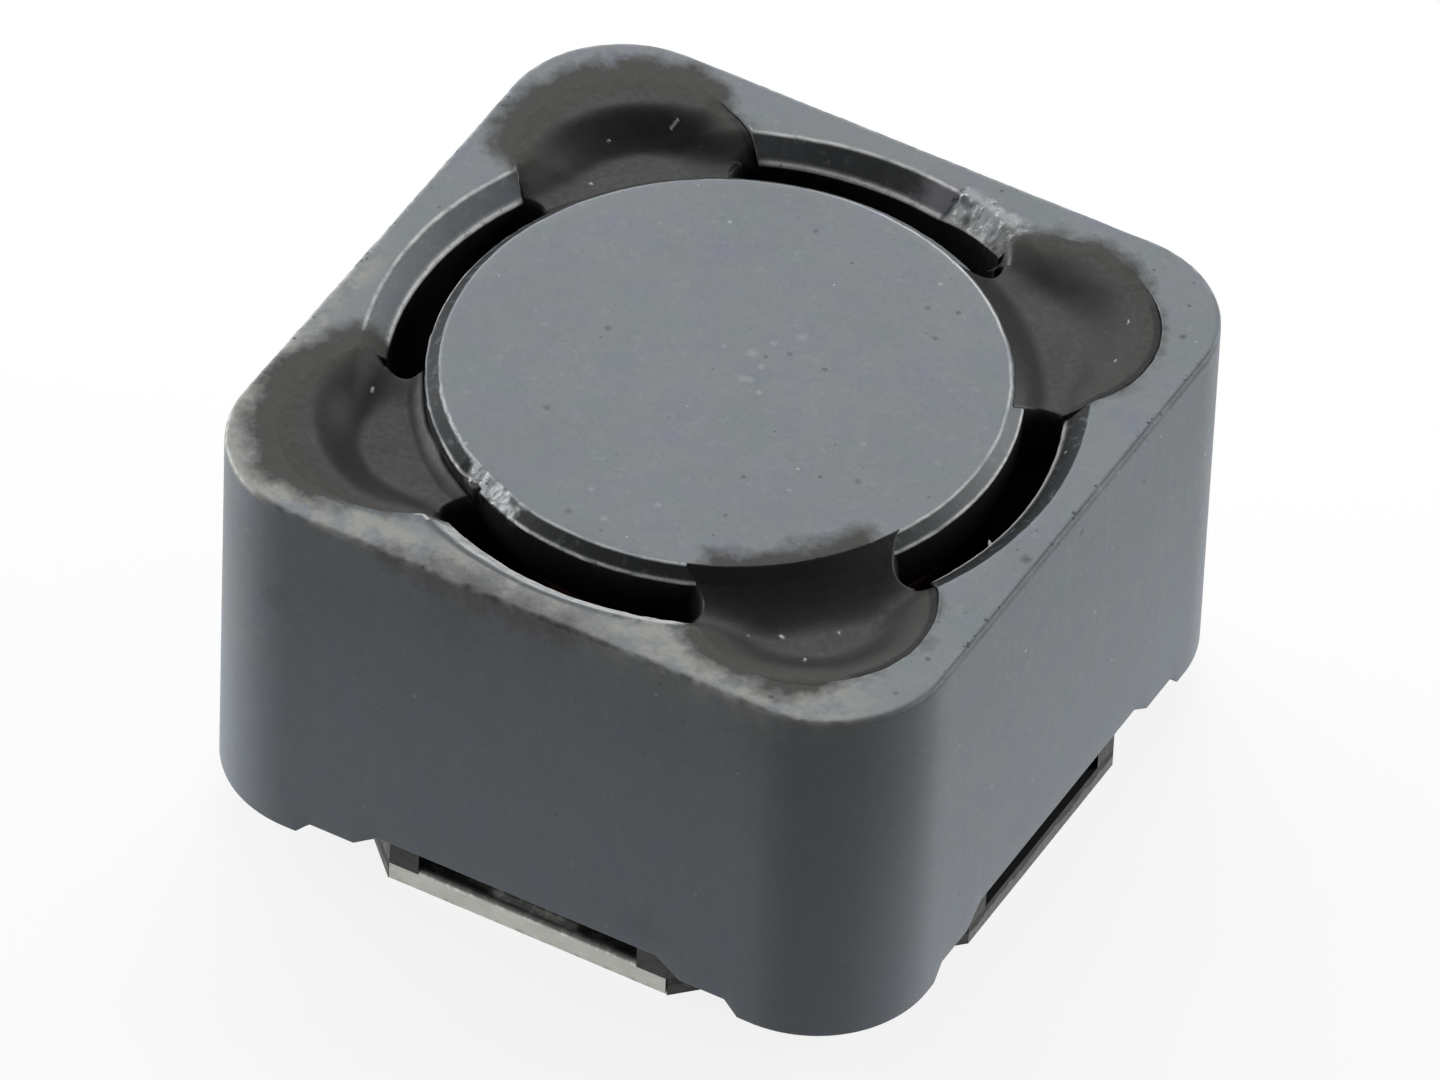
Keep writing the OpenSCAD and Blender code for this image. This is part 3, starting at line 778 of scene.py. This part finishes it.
class Shader:
    """A node material, with short calls for the nodes that these materials use."""

    def __init__(self, name):
        self.material = bpy.data.materials.new(name)
        self.material.use_nodes = True
        self.tree = self.material.node_tree
        self.surface = self.tree.nodes["Principled BSDF"]
        coords = self.node("ShaderNodeTexCoord")
        self.mm = self.node("ShaderNodeMapping", Vector=coords.outputs["Object"],
                            Scale=(1000, 1000, 1000)).outputs[0]

    def put(self, socket, value):
        if isinstance(value, bpy.types.NodeSocket):
            self.tree.links.new(value, socket)
        elif isinstance(value, tuple) and len(value) == 3 and socket.type == "RGBA":
            socket.default_value = (*value, 1)
        else:
            socket.default_value = value

    def node(self, kind, settings=None, **values):
        new = self.tree.nodes.new(kind)
        for key, value in (settings or {}).items():
            setattr(new, key, value)
        for key, value in values.items():
            self.put(new.inputs[key.replace("_", " ")], value)
        return new

    def noise(self, scale, detail=3.0, rough=0.5, stretch=None, seed=0.0):
        vector = self.node("ShaderNodeMapping", Vector=self.mm, Scale=stretch or (1, 1, 1),
                           Location=(seed * 13.7, seed * 7.1, seed * 3.3)).outputs[0]
        return self.node("ShaderNodeTexNoise", Vector=vector, Scale=scale, Detail=detail,
                         Roughness=rough).outputs["Fac"]

    def cells(self, scale, seed=0.0):
        vector = self.node("ShaderNodeMapping", Vector=self.mm,
                           Location=(seed * 5.3, seed * 9.1, seed * 2.7)).outputs[0]
        return self.node("ShaderNodeTexVoronoi", Vector=vector, Scale=scale, Randomness=1.0)

    def math(self, operation, a, b=0.0, clamp=False):
        new = self.node("ShaderNodeMath", {"operation": operation, "use_clamp": clamp})
        self.put(new.inputs[0], a)
        self.put(new.inputs[1], b)
        return new.outputs[0]

    def times(self, a, b, clamp=False):
        return self.math("MULTIPLY", a, b, clamp)

    def plus(self, a, b, clamp=False):
        return self.math("ADD", a, b, clamp)

    def minus(self, a, b, clamp=False):
        return self.math("SUBTRACT", a, b, clamp)

    def span(self, value, low, high, to_low=0.0, to_high=1.0):
        return self.node("ShaderNodeMapRange", {"clamp": True}, Value=value, From_Min=low, From_Max=high,
                         To_Min=to_low, To_Max=to_high).outputs[0]

    def mix(self, factor, a, b, blend="MIX"):
        new = self.node("ShaderNodeMix", {"data_type": "RGBA", "blend_type": blend})
        self.put(new.inputs[0], factor)
        self.put(new.inputs[6], a)
        self.put(new.inputs[7], b)
        return new.outputs[2]

    def paint(self, where, color, most=None):
        """Cover the colour so far with another, where the first value says, at most as much as the last."""
        if most is not None:
            where = self.times(where, most)
        self.color = self.mix(where, self.color, color)

    def layer(self, name):
        return self.node("ShaderNodeAttribute", {"attribute_name": name}).outputs["Fac"]

    def spots(self, scale, size, share, seed):
        """1 inside small round spots, in a share of the cells."""
        cell = self.cells(scale, seed)
        inside = self.math("LESS_THAN", cell.outputs["Distance"], size)
        chance = self.node("ShaderNodeSeparateColor", Color=cell.outputs["Color"]).outputs[0]
        chosen = self.math("LESS_THAN", chance, share)
        return self.times(inside, chosen)

    def near(self, place, size, edge=0.5):
        """1 close to a place, falling to 0 at the given size from it, with a ragged edge."""
        grain = self.noise(6 if size > 0.15 else 14, 4, 0.7, seed=place[0])
        ragged = self.times(self.minus(grain, 0.5), 1.4 * size)
        off = self.node("ShaderNodeVectorMath", {"operation": "DISTANCE"}, Vector=self.mm)
        off.inputs[1].default_value = place
        return self.span(self.plus(off.outputs["Value"], ragged), size * edge, size, 1.0, 0.0)

    def glued(self, seed):
        """1 where the film of epoxy lies, with a feathered and ragged outline."""
        rag = self.times(self.minus(self.noise(2.0, 4, 0.6, seed=seed), 0.5), 0.75)
        fine = self.times(self.minus(self.noise(9, 3, 0.6, seed=seed + 1), 0.5), 0.16)
        return self.span(self.plus(self.plus(self.layer("glue"), rag), fine), -0.14, 0.20)

    def bump(self, height, strength, distance_mm, normal=None):
        new = self.node("ShaderNodeBump", Strength=strength, Distance=distance_mm * MM, Height=height)
        if normal is not None:
            self.put(new.inputs["Normal"], normal)
        return new.outputs[0]

    def finish(self, rough, normal, **fixed):
        self.put(self.surface.inputs["Base Color"], self.color)
        self.put(self.surface.inputs["Roughness"], rough)
        self.put(self.surface.inputs["Normal"], normal)
        for key, value in fixed.items():
            self.surface.inputs[key.replace("_", " ")].default_value = value
        return self.material


def scaled(color, factor):
    return tuple(v * factor for v in color)


FILM = (0.040, 0.0395, 0.036)
WORN_AND_HIGHLIGHT = (0.80, 0.81, 0.80)
FRACTURE_GLINT = (0.80, 0.82, 0.83)
HOLLOW_SHADE = (0.10, 0.105, 0.125)
SCUFF = (0.32, 0.325, 0.29)
PIT = (0.030, 0.034, 0.046)
STAIN = (0.055, 0.052, 0.052)
VIOLET = (0.165, 0.160, 0.185)
# Near-black painted shade inside the gap
GAP_SHADE = (0.008, 0.008, 0.008)
DULL = 0.08                    # specular level of the bevels that would mirror a lamp


def on_disc(*marks):
    """Places and sizes of marks on the drum's disc, each given as x, y and size."""
    return [((x, y, DRUM_TOP), size) for x, y, size in marks]


# Small pits, stains and smudges on the ring, its one violet mark, and pits and light flecks on the drum's
# disc: place and size of each
PITS = [((5.78, -1.16, 7.1), 0.12), ((1.42, 5.42, 7.2), 0.06), ((5.45, 4.35, 7.1), 0.07),
        ((1.55, 5.78, 7.1), 0.05), ((4.00, -5.70, 7.1), 0.06), ((5.58, -3.80, 7.1), 0.06),
        ((6.00, 0.20, 6.65), 0.08), ((5.20, 5.00, 7.1), 0.05), ((6.0, 2.2, 6.1), 0.05)]
STAINS = [((-2.3, -6.0, 7.05), 0.40), ((-1.6, -6.0, 7.05), 0.55), ((-0.9, -6.0, 7.05), 0.6),
          ((-0.1, -6.0, 7.05), 0.55), ((0.6, -6.0, 7.0), 0.42)]
SMUDGES = [((0.75, -5.70, 7.2), 0.55), ((1.25, -5.90, 7.2), 0.4), ((2.15, -6.00, 1.6), 0.5),
           ((-4.30, -6.00, 5.3), 0.4), ((-1.2, -6.00, 6.5), 1.0), ((0.3, -6.00, 6.6), 0.7),
           ((3.9, -5.97, 6.6), 0.7)]
VIOLET_MARK = ((0.75, 5.28, 7.05), 0.5)
DISC_PITS = on_disc((0.36, 0.58, 0.05), (0.64, 0.83, 0.06), (-1.97, -0.11, 0.09), (-1.87, -2.10, 0.08),
                    (-0.47, -3.89, 0.08), (2.87, -1.09, 0.07), (1.56, -2.76, 0.06), (1.91, 2.80, 0.07),
                    (2.33, 2.27, 0.07))
DISC_FLECKS = on_disc((-0.29, 0.45, 0.06), (0.31, -0.02, 0.10), (0.40, 0.02, 0.09), (0.41, 0.36, 0.09),
                      (0.32, 0.90, 0.08), (0.66, -0.15, 0.07), (0.15, 0.55, 0.12), (0.62, 1.25, 0.12),
                      (-0.43, -3.30, 0.07), (0.59, -3.07, 0.08), (0.05, -3.76, 0.08), (2.10, -1.78, 0.06),
                      (2.55, -0.32, 0.06))


def ferrite_ground(s, base, seed):
    """Clouded grey ferrite with pores, glints and pale blotches, and the painted shade of the bevels."""
    blue = (base[0] * 0.90, base[1] * 0.92, base[2] * 1.12)
    green = (base[0] * 0.88, base[1] * 1.01, base[2] * 0.92)
    cloud = s.span(s.noise(0.45, 4, 0.6, seed=seed), 0.32, 0.68)
    s.color = s.mix(cloud, scaled(base, 0.92), scaled(base, 1.06))
    s.paint(s.span(s.noise(1.5, 4, 0.65, seed=seed + 1), 0.48, 0.66), blue, 0.8)
    s.paint(s.span(s.noise(1.1, 4, 0.65, seed=seed + 2), 0.50, 0.68), green, 0.8)
    grain = s.span(s.noise(16, 4, 0.65, seed=seed + 3), 0.25, 0.75)
    s.paint(grain, scaled(base, 0.84), 0.25)
    pores = s.plus(s.spots(1.2, 0.055, 0.6, seed + 4), s.spots(3.4, 0.08, 0.28, seed + 5), clamp=True)
    glints = s.plus(s.spots(1.4, 0.05, 0.40, seed + 6), s.spots(3.1, 0.06, 0.16, seed + 7), clamp=True)
    # Painted shade in the bevels
    s.paint(s.layer("bevel_shade"), scaled(base, 0.14))
    whole = s.minus(1.0, s.layer("fresh"), clamp=True)
    s.paint(s.times(pores, 0.7), scaled(base, 0.35), whole)
    s.paint(glints, (0.55, 0.56, 0.56), 0.45)
    blotch = s.span(s.noise(4.5, 4, 0.7, seed=seed + 15), 0.56, 0.72)
    s.paint(blotch, scaled(base, 1.45), 0.35)
    return grain, pores


def ferrite_marks(s, base, seed, pits, flecks, depth):
    """Scuffs, pits and light flecks."""
    scuffs = s.times(s.layer("scuffed"), s.span(s.noise(1.8, 5, 0.7, seed=seed + 8), 0.38, 0.55))
    s.paint(scuffs, SCUFF, 0.85)
    for place, size in pits:
        s.paint(s.near(place, size, 0.2), PIT, depth)
    for place, size in flecks:
        s.paint(s.near(place, size, 0.1), scaled(base, 1.8), 0.5)


def crumbled_sides(s, base, seed, place):
    """A broken dark line of crumbs along the top's right and left edges, and a faint line at the right."""
    dots = s.plus(s.spots(4.5, 0.17, 0.75, seed + 9), s.spots(7.5, 0.22, 0.6, seed + 16), clamp=True)
    across = s.math("ABSOLUTE", place[0])
    line = s.span(s.math("ABSOLUTE", s.minus(across, HALF - 0.05)), 0.08, 0.10, 1.0, 0.0)
    ends = s.span(s.math("ABSOLUTE", place[1]), 3.6, 4.2, 1.0, 0.0)
    high = s.math("GREATER_THAN", place[2], RING_TOP - 0.12)
    crumbs = s.times(s.times(dots, line), s.times(ends, high))
    s.paint(crumbs, scaled(base, 0.15), 0.85)
    line = s.span(s.math("ABSOLUTE", s.minus(place[0], HALF - 0.03)), 0.03, 0.05, 1.0, 0.0)
    line = s.times(s.times(line, high), s.span(s.noise(1.7, 3, 0.6), 0.35, 0.6, 0.2, 0.7))
    s.paint(line, scaled(base, 0.4))


def ring_marks(s, base, seed):
    """The marks that only the ring has: stains, crumbled edges, painted shade on the near corner and high on
    the front face, and painted floor light low down.
    """
    s.paint(s.near(*VIOLET_MARK, 0.2), VIOLET, 0.9)
    for place, size in SMUDGES:
        s.paint(s.near(place, size, 0.0), scaled(base, 0.35), 0.5)
    for place, size in STAINS:
        s.paint(s.near(place, size, 0.3), STAIN, 0.8)
    place = s.node("ShaderNodeSeparateXYZ", Vector=s.mm).outputs
    crumbled_sides(s, base, seed, place)
    # Painted shade on the near vertical corner and the sides beside it
    corner = s.span(s.minus(place[0], place[1]), 9.7, 10.6)
    corner = s.times(corner, s.math("LESS_THAN", place[2], RING_TOP - 0.06))
    s.paint(corner, scaled(base, 0.3), 0.6)
    # Painted shade: the front face darker toward its top
    front_face_shade = s.times(s.span(place[1], -5.97, -5.85, 1.0, 0.0), s.span(place[2], 2.0, 6.0))
    s.paint(front_face_shade, scaled(base, 0.3), 0.3)
    # Painted light from the floor: paler low down
    low = s.span(place[2], 1.0, 6.0, 1.0, 0.0)
    s.paint(low, (base[0] * 1.5, base[1] * 1.58, base[2] * 1.7), 0.5)


def ferrite_wear(s, seed, chip):
    """Worn edges that are also painted highlights, broken places with painted glints and painted shade in
    their hollows, the epoxy's film and painted shade inside the gap, over the ground and its marks.
    """
    # Pale worn edges: wear and painted highlights
    flake = s.span(s.noise(8, 4, 0.7, seed=seed + 10), 0.25, 0.45)
    wear_and_highlight = s.times(s.layer("wear_and_highlight"), flake, clamp=True)
    s.paint(wear_and_highlight, WORN_AND_HIGHLIGHT)
    # The broken places are painted pale, partly as a painted glint; their pale spots are painted glints and
    # their dark spots painted shade in hollows
    broken = s.span(s.noise(9, 4, 0.7, seed=seed + 11), 0.55, 0.66)
    fresh = s.times(s.layer("fresh"), broken, clamp=True)
    hollow_shade = s.span(s.noise(6, 3, 0.6, seed=seed + 17), 0.59, 0.68, 0.0, 0.75)
    s.paint(s.layer("fresh"), (chip, chip * 1.04, chip * 1.07), 0.85)
    s.paint(s.layer("fresh"), HOLLOW_SHADE, hollow_shade)
    s.paint(fresh, FRACTURE_GLINT)
    glued = s.glued(seed + 12)
    s.paint(glued, FILM)
    # Painted shade: near-black inside the gap
    s.paint(s.layer("gap_shade"), GAP_SHADE)
    return wear_and_highlight, fresh, glued


def ferrite(name, base, seed, pits, flecks=(), ring=False, chip=0.36, shine=0.5):
    """The look of a core; chip is how light its broken places are, and shine its specular level."""
    s = Shader(name)
    grain, pores = ferrite_ground(s, base, seed)
    ferrite_marks(s, base, seed, pits, flecks, 0.85 if ring else 0.55)
    if ring:
        ring_marks(s, base, seed)
    wear_and_highlight, fresh, glued = ferrite_wear(s, seed, chip)
    rough = s.span(grain, 0, 1, 0.40, 0.55)
    rough = s.minus(rough, s.times(s.math("MAXIMUM", wear_and_highlight, fresh), 0.15))
    rough = s.plus(rough, s.times(glued, 0.15))
    height = s.minus(s.noise(20, 5, 0.7, seed=seed + 13), s.times(pores, 0.8))
    height = s.plus(height, s.times(fresh, 1.5))
    normal = s.bump(height, 0.35, 0.012)
    normal = s.bump(s.noise(2.2, 3, 0.5, seed=seed + 14), 0.25, 0.02, normal)
    return s.finish(rough, normal, IOR=1.45, Specular_IOR_Level=shine)


def epoxy_material():
    s = Shader("epoxy")
    base = (0.014, 0.0139, 0.0139)
    cloud = s.span(s.noise(0.9, 4, 0.6), 0.3, 0.7)
    s.color = s.mix(cloud, scaled(base, 0.8), scaled(base, 1.2))
    s.paint(s.layer("film"), scaled(FILM, 1.12))
    fine = s.span(s.noise(12, 3, 0.6, seed=2), 0.3, 0.7)
    s.paint(fine, scaled(base, 1.5), 0.25)
    dust = s.spots(4.5, 0.05, 0.16, 3)
    s.paint(dust, (0.25, 0.25, 0.24), 0.35)
    # Painted shade along the pocket's rim
    s.paint(s.layer("crevice_shade"), (0.006, 0.006, 0.006))
    s.paint(s.layer("speck"), (0.6, 0.6, 0.57))
    rough = s.plus(s.span(fine, 0, 1, 0.40, 0.52), s.times(s.layer("film"), 0.15))
    normal = s.bump(s.noise(6, 4, 0.6, seed=4), 0.3, 0.01)
    return s.finish(rough, normal, IOR=1.38)


def copper_material():
    s = Shader("enamelled_copper")
    tone = s.span(s.noise(1.5, 3, 0.6), 0.3, 0.7)
    s.color = s.mix(tone, (0.085, 0.030, 0.014), (0.15, 0.055, 0.026))
    scuff = s.span(s.noise(9, 4, 0.7, seed=2), 0.55, 0.75)
    s.paint(scuff, (0.24, 0.11, 0.06), 0.4)
    rough = s.span(s.noise(12, 3, 0.6, seed=3), 0.3, 0.7, 0.3, 0.45)
    normal = s.bump(s.noise(10, 3, 0.6, seed=4), 0.2, 0.006)
    return s.finish(rough, normal, Metallic=0.6, Coat_Weight=0.5, Coat_Roughness=0.2)


def tin_material(name, base):
    s = Shader(name)
    cloud = s.span(s.noise(1.2, 4, 0.6), 0.3, 0.7)
    s.color = s.mix(cloud, scaled(base, 0.86), scaled(base, 1.06))
    streak = s.span(s.noise(5, 4, 0.7, stretch=(0.25, 1, 3), seed=2), 0.45, 0.7)
    s.paint(streak, scaled(base, 0.68), 0.35)
    flecks = s.span(s.noise(7, 4, 0.7, seed=3), 0.62, 0.72)
    s.paint(flecks, scaled(base, 0.38), 0.6)
    parts = s.node("ShaderNodeSeparateXYZ", Vector=s.mm)
    chance = s.noise(4, 4, 0.7, seed=6)
    low = s.times(s.span(parts.outputs[2], 0.05, 0.14, 1.0, 0.0), s.span(chance, 0.50, 0.58))
    s.paint(low, scaled(base, 0.3), 0.7)
    high = s.times(s.span(parts.outputs[2], 0.34, 0.42), s.span(chance, 0.50, 0.42))
    s.paint(high, (0.85, 0.85, 0.82), 0.6)
    rough = s.span(s.noise(6, 4, 0.6, seed=4), 0.3, 0.7, 0.3, 0.5)
    normal = s.bump(s.noise(4, 4, 0.6, stretch=(0.5, 1, 1), seed=5), 0.3, 0.01)
    return s.finish(rough, normal, Metallic=1.0)


def laminate_material():
    s = Shader("laminate")
    base = (0.052, 0.046, 0.042)
    cloud = s.span(s.noise(1.0, 4, 0.6), 0.3, 0.7)
    s.color = s.mix(cloud, scaled(base, 0.7), scaled(base, 1.35))
    # The cut edge is paler than the lower face
    parts = s.node("ShaderNodeSeparateXYZ", Vector=s.mm)
    edge = s.span(parts.outputs[2], plate_low[2] + 0.005, plate_low[2] + 0.03)
    s.paint(edge, s.mix(cloud, (0.14, 0.138, 0.134), (0.24, 0.236, 0.23)))
    layers = s.span(s.noise(3, 3, 0.6, stretch=(0.4, 0.4, 9), seed=2), 0.35, 0.65)
    s.paint(s.times(layers, 0.4), (0.24, 0.23, 0.22), edge)
    thick = plate_high[2] - plate_low[2]
    # The upper half of the plate, under the ring, is painted near-black: painted shade
    uneven = s.times(s.minus(s.noise(2.5, 4, 0.7, seed=5), 0.5), 0.3)
    top_shade = s.span(s.plus(parts.outputs[2], uneven), plate_low[2] + 0.5 * thick,
                   plate_low[2] + 0.6 * thick)
    s.paint(top_shade, (0.012, 0.013, 0.012))
    rough = s.span(s.noise(9, 3, 0.6, seed=3), 0.3, 0.7, 0.5, 0.75)
    normal = s.bump(s.noise(8, 4, 0.7, stretch=(1, 1, 3), seed=4), 0.35, 0.012)
    return s.finish(rough, normal)


def adhesive_material():
    s = Shader("adhesive")
    base = (0.017, 0.021, 0.018)
    cloud = s.span(s.noise(1.4, 3, 0.6), 0.3, 0.7)
    s.color = s.mix(cloud, scaled(base, 0.75), scaled(base, 1.25))
    specks = s.spots(5, 0.09, 0.3, 2)
    s.paint(specks, scaled(base, 1.9), 0.5)
    rough = s.span(s.noise(7, 3, 0.6, seed=3), 0.3, 0.7, 0.35, 0.6)
    normal = s.bump(s.noise(4, 4, 0.6, seed=4), 0.4, 0.02)
    return s.finish(rough, normal)


def dress(obj, material):
    obj.data.materials.clear()
    obj.data.materials.append(material)


def add_modifier(obj, kind, name, **settings):
    modifier = obj.modifiers.new(name, kind)
    for key, value in settings.items():
        setattr(modifier, key, value)
    return modifier


# ---------------- camera, floor and light

def seen_rays(tree):
    """1 for rays from the camera and for reflected and transmitted ones, so that all show the same floor."""
    path = tree.nodes.new("ShaderNodeLightPath")
    seen = path.outputs["Is Camera Ray"]
    for other in ("Is Glossy Ray", "Is Transmission Ray"):
        larger = tree.nodes.new("ShaderNodeMath")
        larger.operation = "MAXIMUM"
        tree.links.new(seen, larger.inputs[0])
        tree.links.new(path.outputs[other], larger.inputs[1])
        seen = larger.outputs[0]
    return seen


def add_world():
    world = bpy.data.worlds.new("studio")
    bpy.context.scene.world = world
    world.use_nodes = True
    background = world.node_tree.nodes["Background"]
    background.inputs["Color"].default_value = (1, 1, 1, 1)
    background.inputs["Strength"].default_value = 0.12


def add_floor():
    size = 400.0
    floor = add_mesh("floor", [(-size, -size, 0), (size, -size, 0), (size, size, 0), (-size, size, 0)],
                     [(0, 1, 2, 3)])
    floor.location.z = -0.02 * MM
    material = bpy.data.materials.new("floor")
    material.use_nodes = True
    tree = material.node_tree
    surface = tree.nodes["Principled BSDF"]
    surface.inputs["Roughness"].default_value = 0.9
    surface.inputs["Specular IOR Level"].default_value = 0.0
    seen = seen_rays(tree)
    tone = tree.nodes.new("ShaderNodeMix")
    tone.data_type = "RGBA"
    tone.inputs[6].default_value = (0.32, 0.32, 0.32, 1)
    tone.inputs[7].default_value = (0.85, 0.85, 0.85, 1)
    tree.links.new(seen, tone.inputs[0])
    tree.links.new(tone.outputs[2], surface.inputs["Base Color"])
    share = tree.nodes.new("ShaderNodeMath")
    share.operation = "MULTIPLY"
    share.inputs[1].default_value = 0.80
    tree.links.new(seen, share.inputs[0])
    glow = tree.nodes.new("ShaderNodeEmission")
    glow.inputs["Strength"].default_value = 1.06
    mixed = tree.nodes.new("ShaderNodeMixShader")
    tree.links.new(share.outputs[0], mixed.inputs[0])
    tree.links.new(surface.outputs[0], mixed.inputs[1])
    tree.links.new(glow.outputs[0], mixed.inputs[2])
    tree.links.new(mixed.outputs[0], tree.nodes["Material Output"].inputs[0])
    dress(floor, material)


def add_lamp(name, direction, distance, width, height, watts):
    data = bpy.data.lights.new(name, "AREA")
    data.shape = "RECTANGLE"
    data.size = width
    data.size_y = height
    data.energy = watts
    lamp = bpy.data.objects.new(name, data)
    bpy.context.scene.collection.objects.link(lamp)
    lamp.visible_camera = False
    way = Vector(direction).normalized()
    lamp.location = way * distance + Vector((0, 0, 0.004))
    lamp.rotation_euler = way.to_track_quat("Z", "Y").to_euler()


def add_camera():
    azimuth, elevation, roll = (math.radians(v) for v in (27.857, 43.248, 2.470))
    back = Vector((math.sin(azimuth) * math.cos(elevation), -math.cos(azimuth) * math.cos(elevation),
                   math.sin(elevation)))
    right = Vector((0, 0, 1)).cross(back).normalized()
    up = back.cross(right)
    turned_right = right * math.cos(roll) + up * math.sin(roll)
    turned_up = up * math.cos(roll) - right * math.sin(roll)
    aim = Vector((0, 0, FOOT_Z)) + turned_right * 0.124 + turned_up * 2.267
    place = aim + back * 267.633
    data = bpy.data.cameras.new("camera")
    data.sensor_fit = "HORIZONTAL"
    data.sensor_width = 36.0
    data.lens = 439.3
    data.clip_start = 0.01
    data.clip_end = 10.0
    camera = bpy.data.objects.new("camera", data)
    bpy.context.scene.collection.objects.link(camera)
    matrix = Matrix((turned_right, turned_up, back)).transposed().to_4x4()
    matrix.translation = place * MM
    camera.matrix_world = matrix
    bpy.context.scene.camera = camera


# ---------------- the whole scene

def build_cores():
    """The ring and the drum; on one side of each, the bevel would mirror a lamp and gets a duller look."""
    gray, blue_gray = (0.190, 0.208, 0.224), (0.190, 0.208, 0.226)
    ring_look = ferrite("ring_ferrite", gray, 1.0, PITS, ring=True)
    drum_look = ferrite("drum_ferrite", blue_gray, 31.0, DISC_PITS, DISC_FLECKS, chip=0.62)
    ring = build_ring()
    dress(ring, ring_look)
    dull_look = ferrite("bevel_ferrite", gray, 1.0, PITS, ring=True, shine=DULL)
    dull_bevel(ring, dull_look, 1, (BORE_R + 0.03, BORE_R + BEVEL_W),
               (RING_TOP - BEVEL_H, RING_TOP - 0.015))
    drum = build_drum()
    dress(drum, drum_look)
    dull_look = ferrite("rim_ferrite", blue_gray, 31.0, DISC_PITS, chip=0.62, shine=DULL)
    dull_bevel(drum, dull_look, -1, (FLANGE_R - RIM_W - 0.05, FLANGE_R + 0.02),
               (DRUM_TOP - RIM_H - 0.06, DRUM_TOP - 0.01))


def dress_nodes():
    """Give the CAD nodes that are seen as they are their looks, and the hard ones a small edge bevel."""
    nodes = {o.name: o for o in bpy.data.objects}
    tin = tin_material("tin", (0.50, 0.50, 0.465))
    # The solder is darker than bare solder: painted shade, as it lies in shade under the ring
    solder = tin_material("solder", (0.34, 0.345, 0.35))
    adhesive = adhesive_material()
    looks = {"terminal_front": tin, "terminal_rear": tin, "solder_front": solder, "solder_rear": solder,
             "base_plate": laminate_material(), "drum_adhesive": adhesive}
    looks.update({"bead_" + name: adhesive for name in CORNERS})
    for name, look in looks.items():
        piece = nodes[name]
        dress(piece, look)
        if name.startswith(("terminal", "base")):
            add_modifier(piece, "BEVEL", "edges", width=0.025 * MM, segments=3, limit_method="ANGLE",
                         angle_limit=math.radians(40))


def build_scene():
    add_camera()
    add_world()
    add_floor()
    add_lamp("main", (-0.34, 0.644, 0.685), 0.32, 0.26, 0.24, 0.60)
    add_lamp("right", (0.66, 0.70, 0.26), 0.32, 0.26, 0.16, 0.72)
    add_lamp("left", (-0.96, 0.05, 0.22), 0.32, 0.26, 0.12, 1.10)

    build_cores()
    glue = epoxy_material()
    for name in CORNERS:
        dress(build_epoxy(name), glue)
    dress(build_winding(), copper_material())
    dress_nodes()


build_scene()
bpy.context.scene.view_settings.view_transform = "Standard"
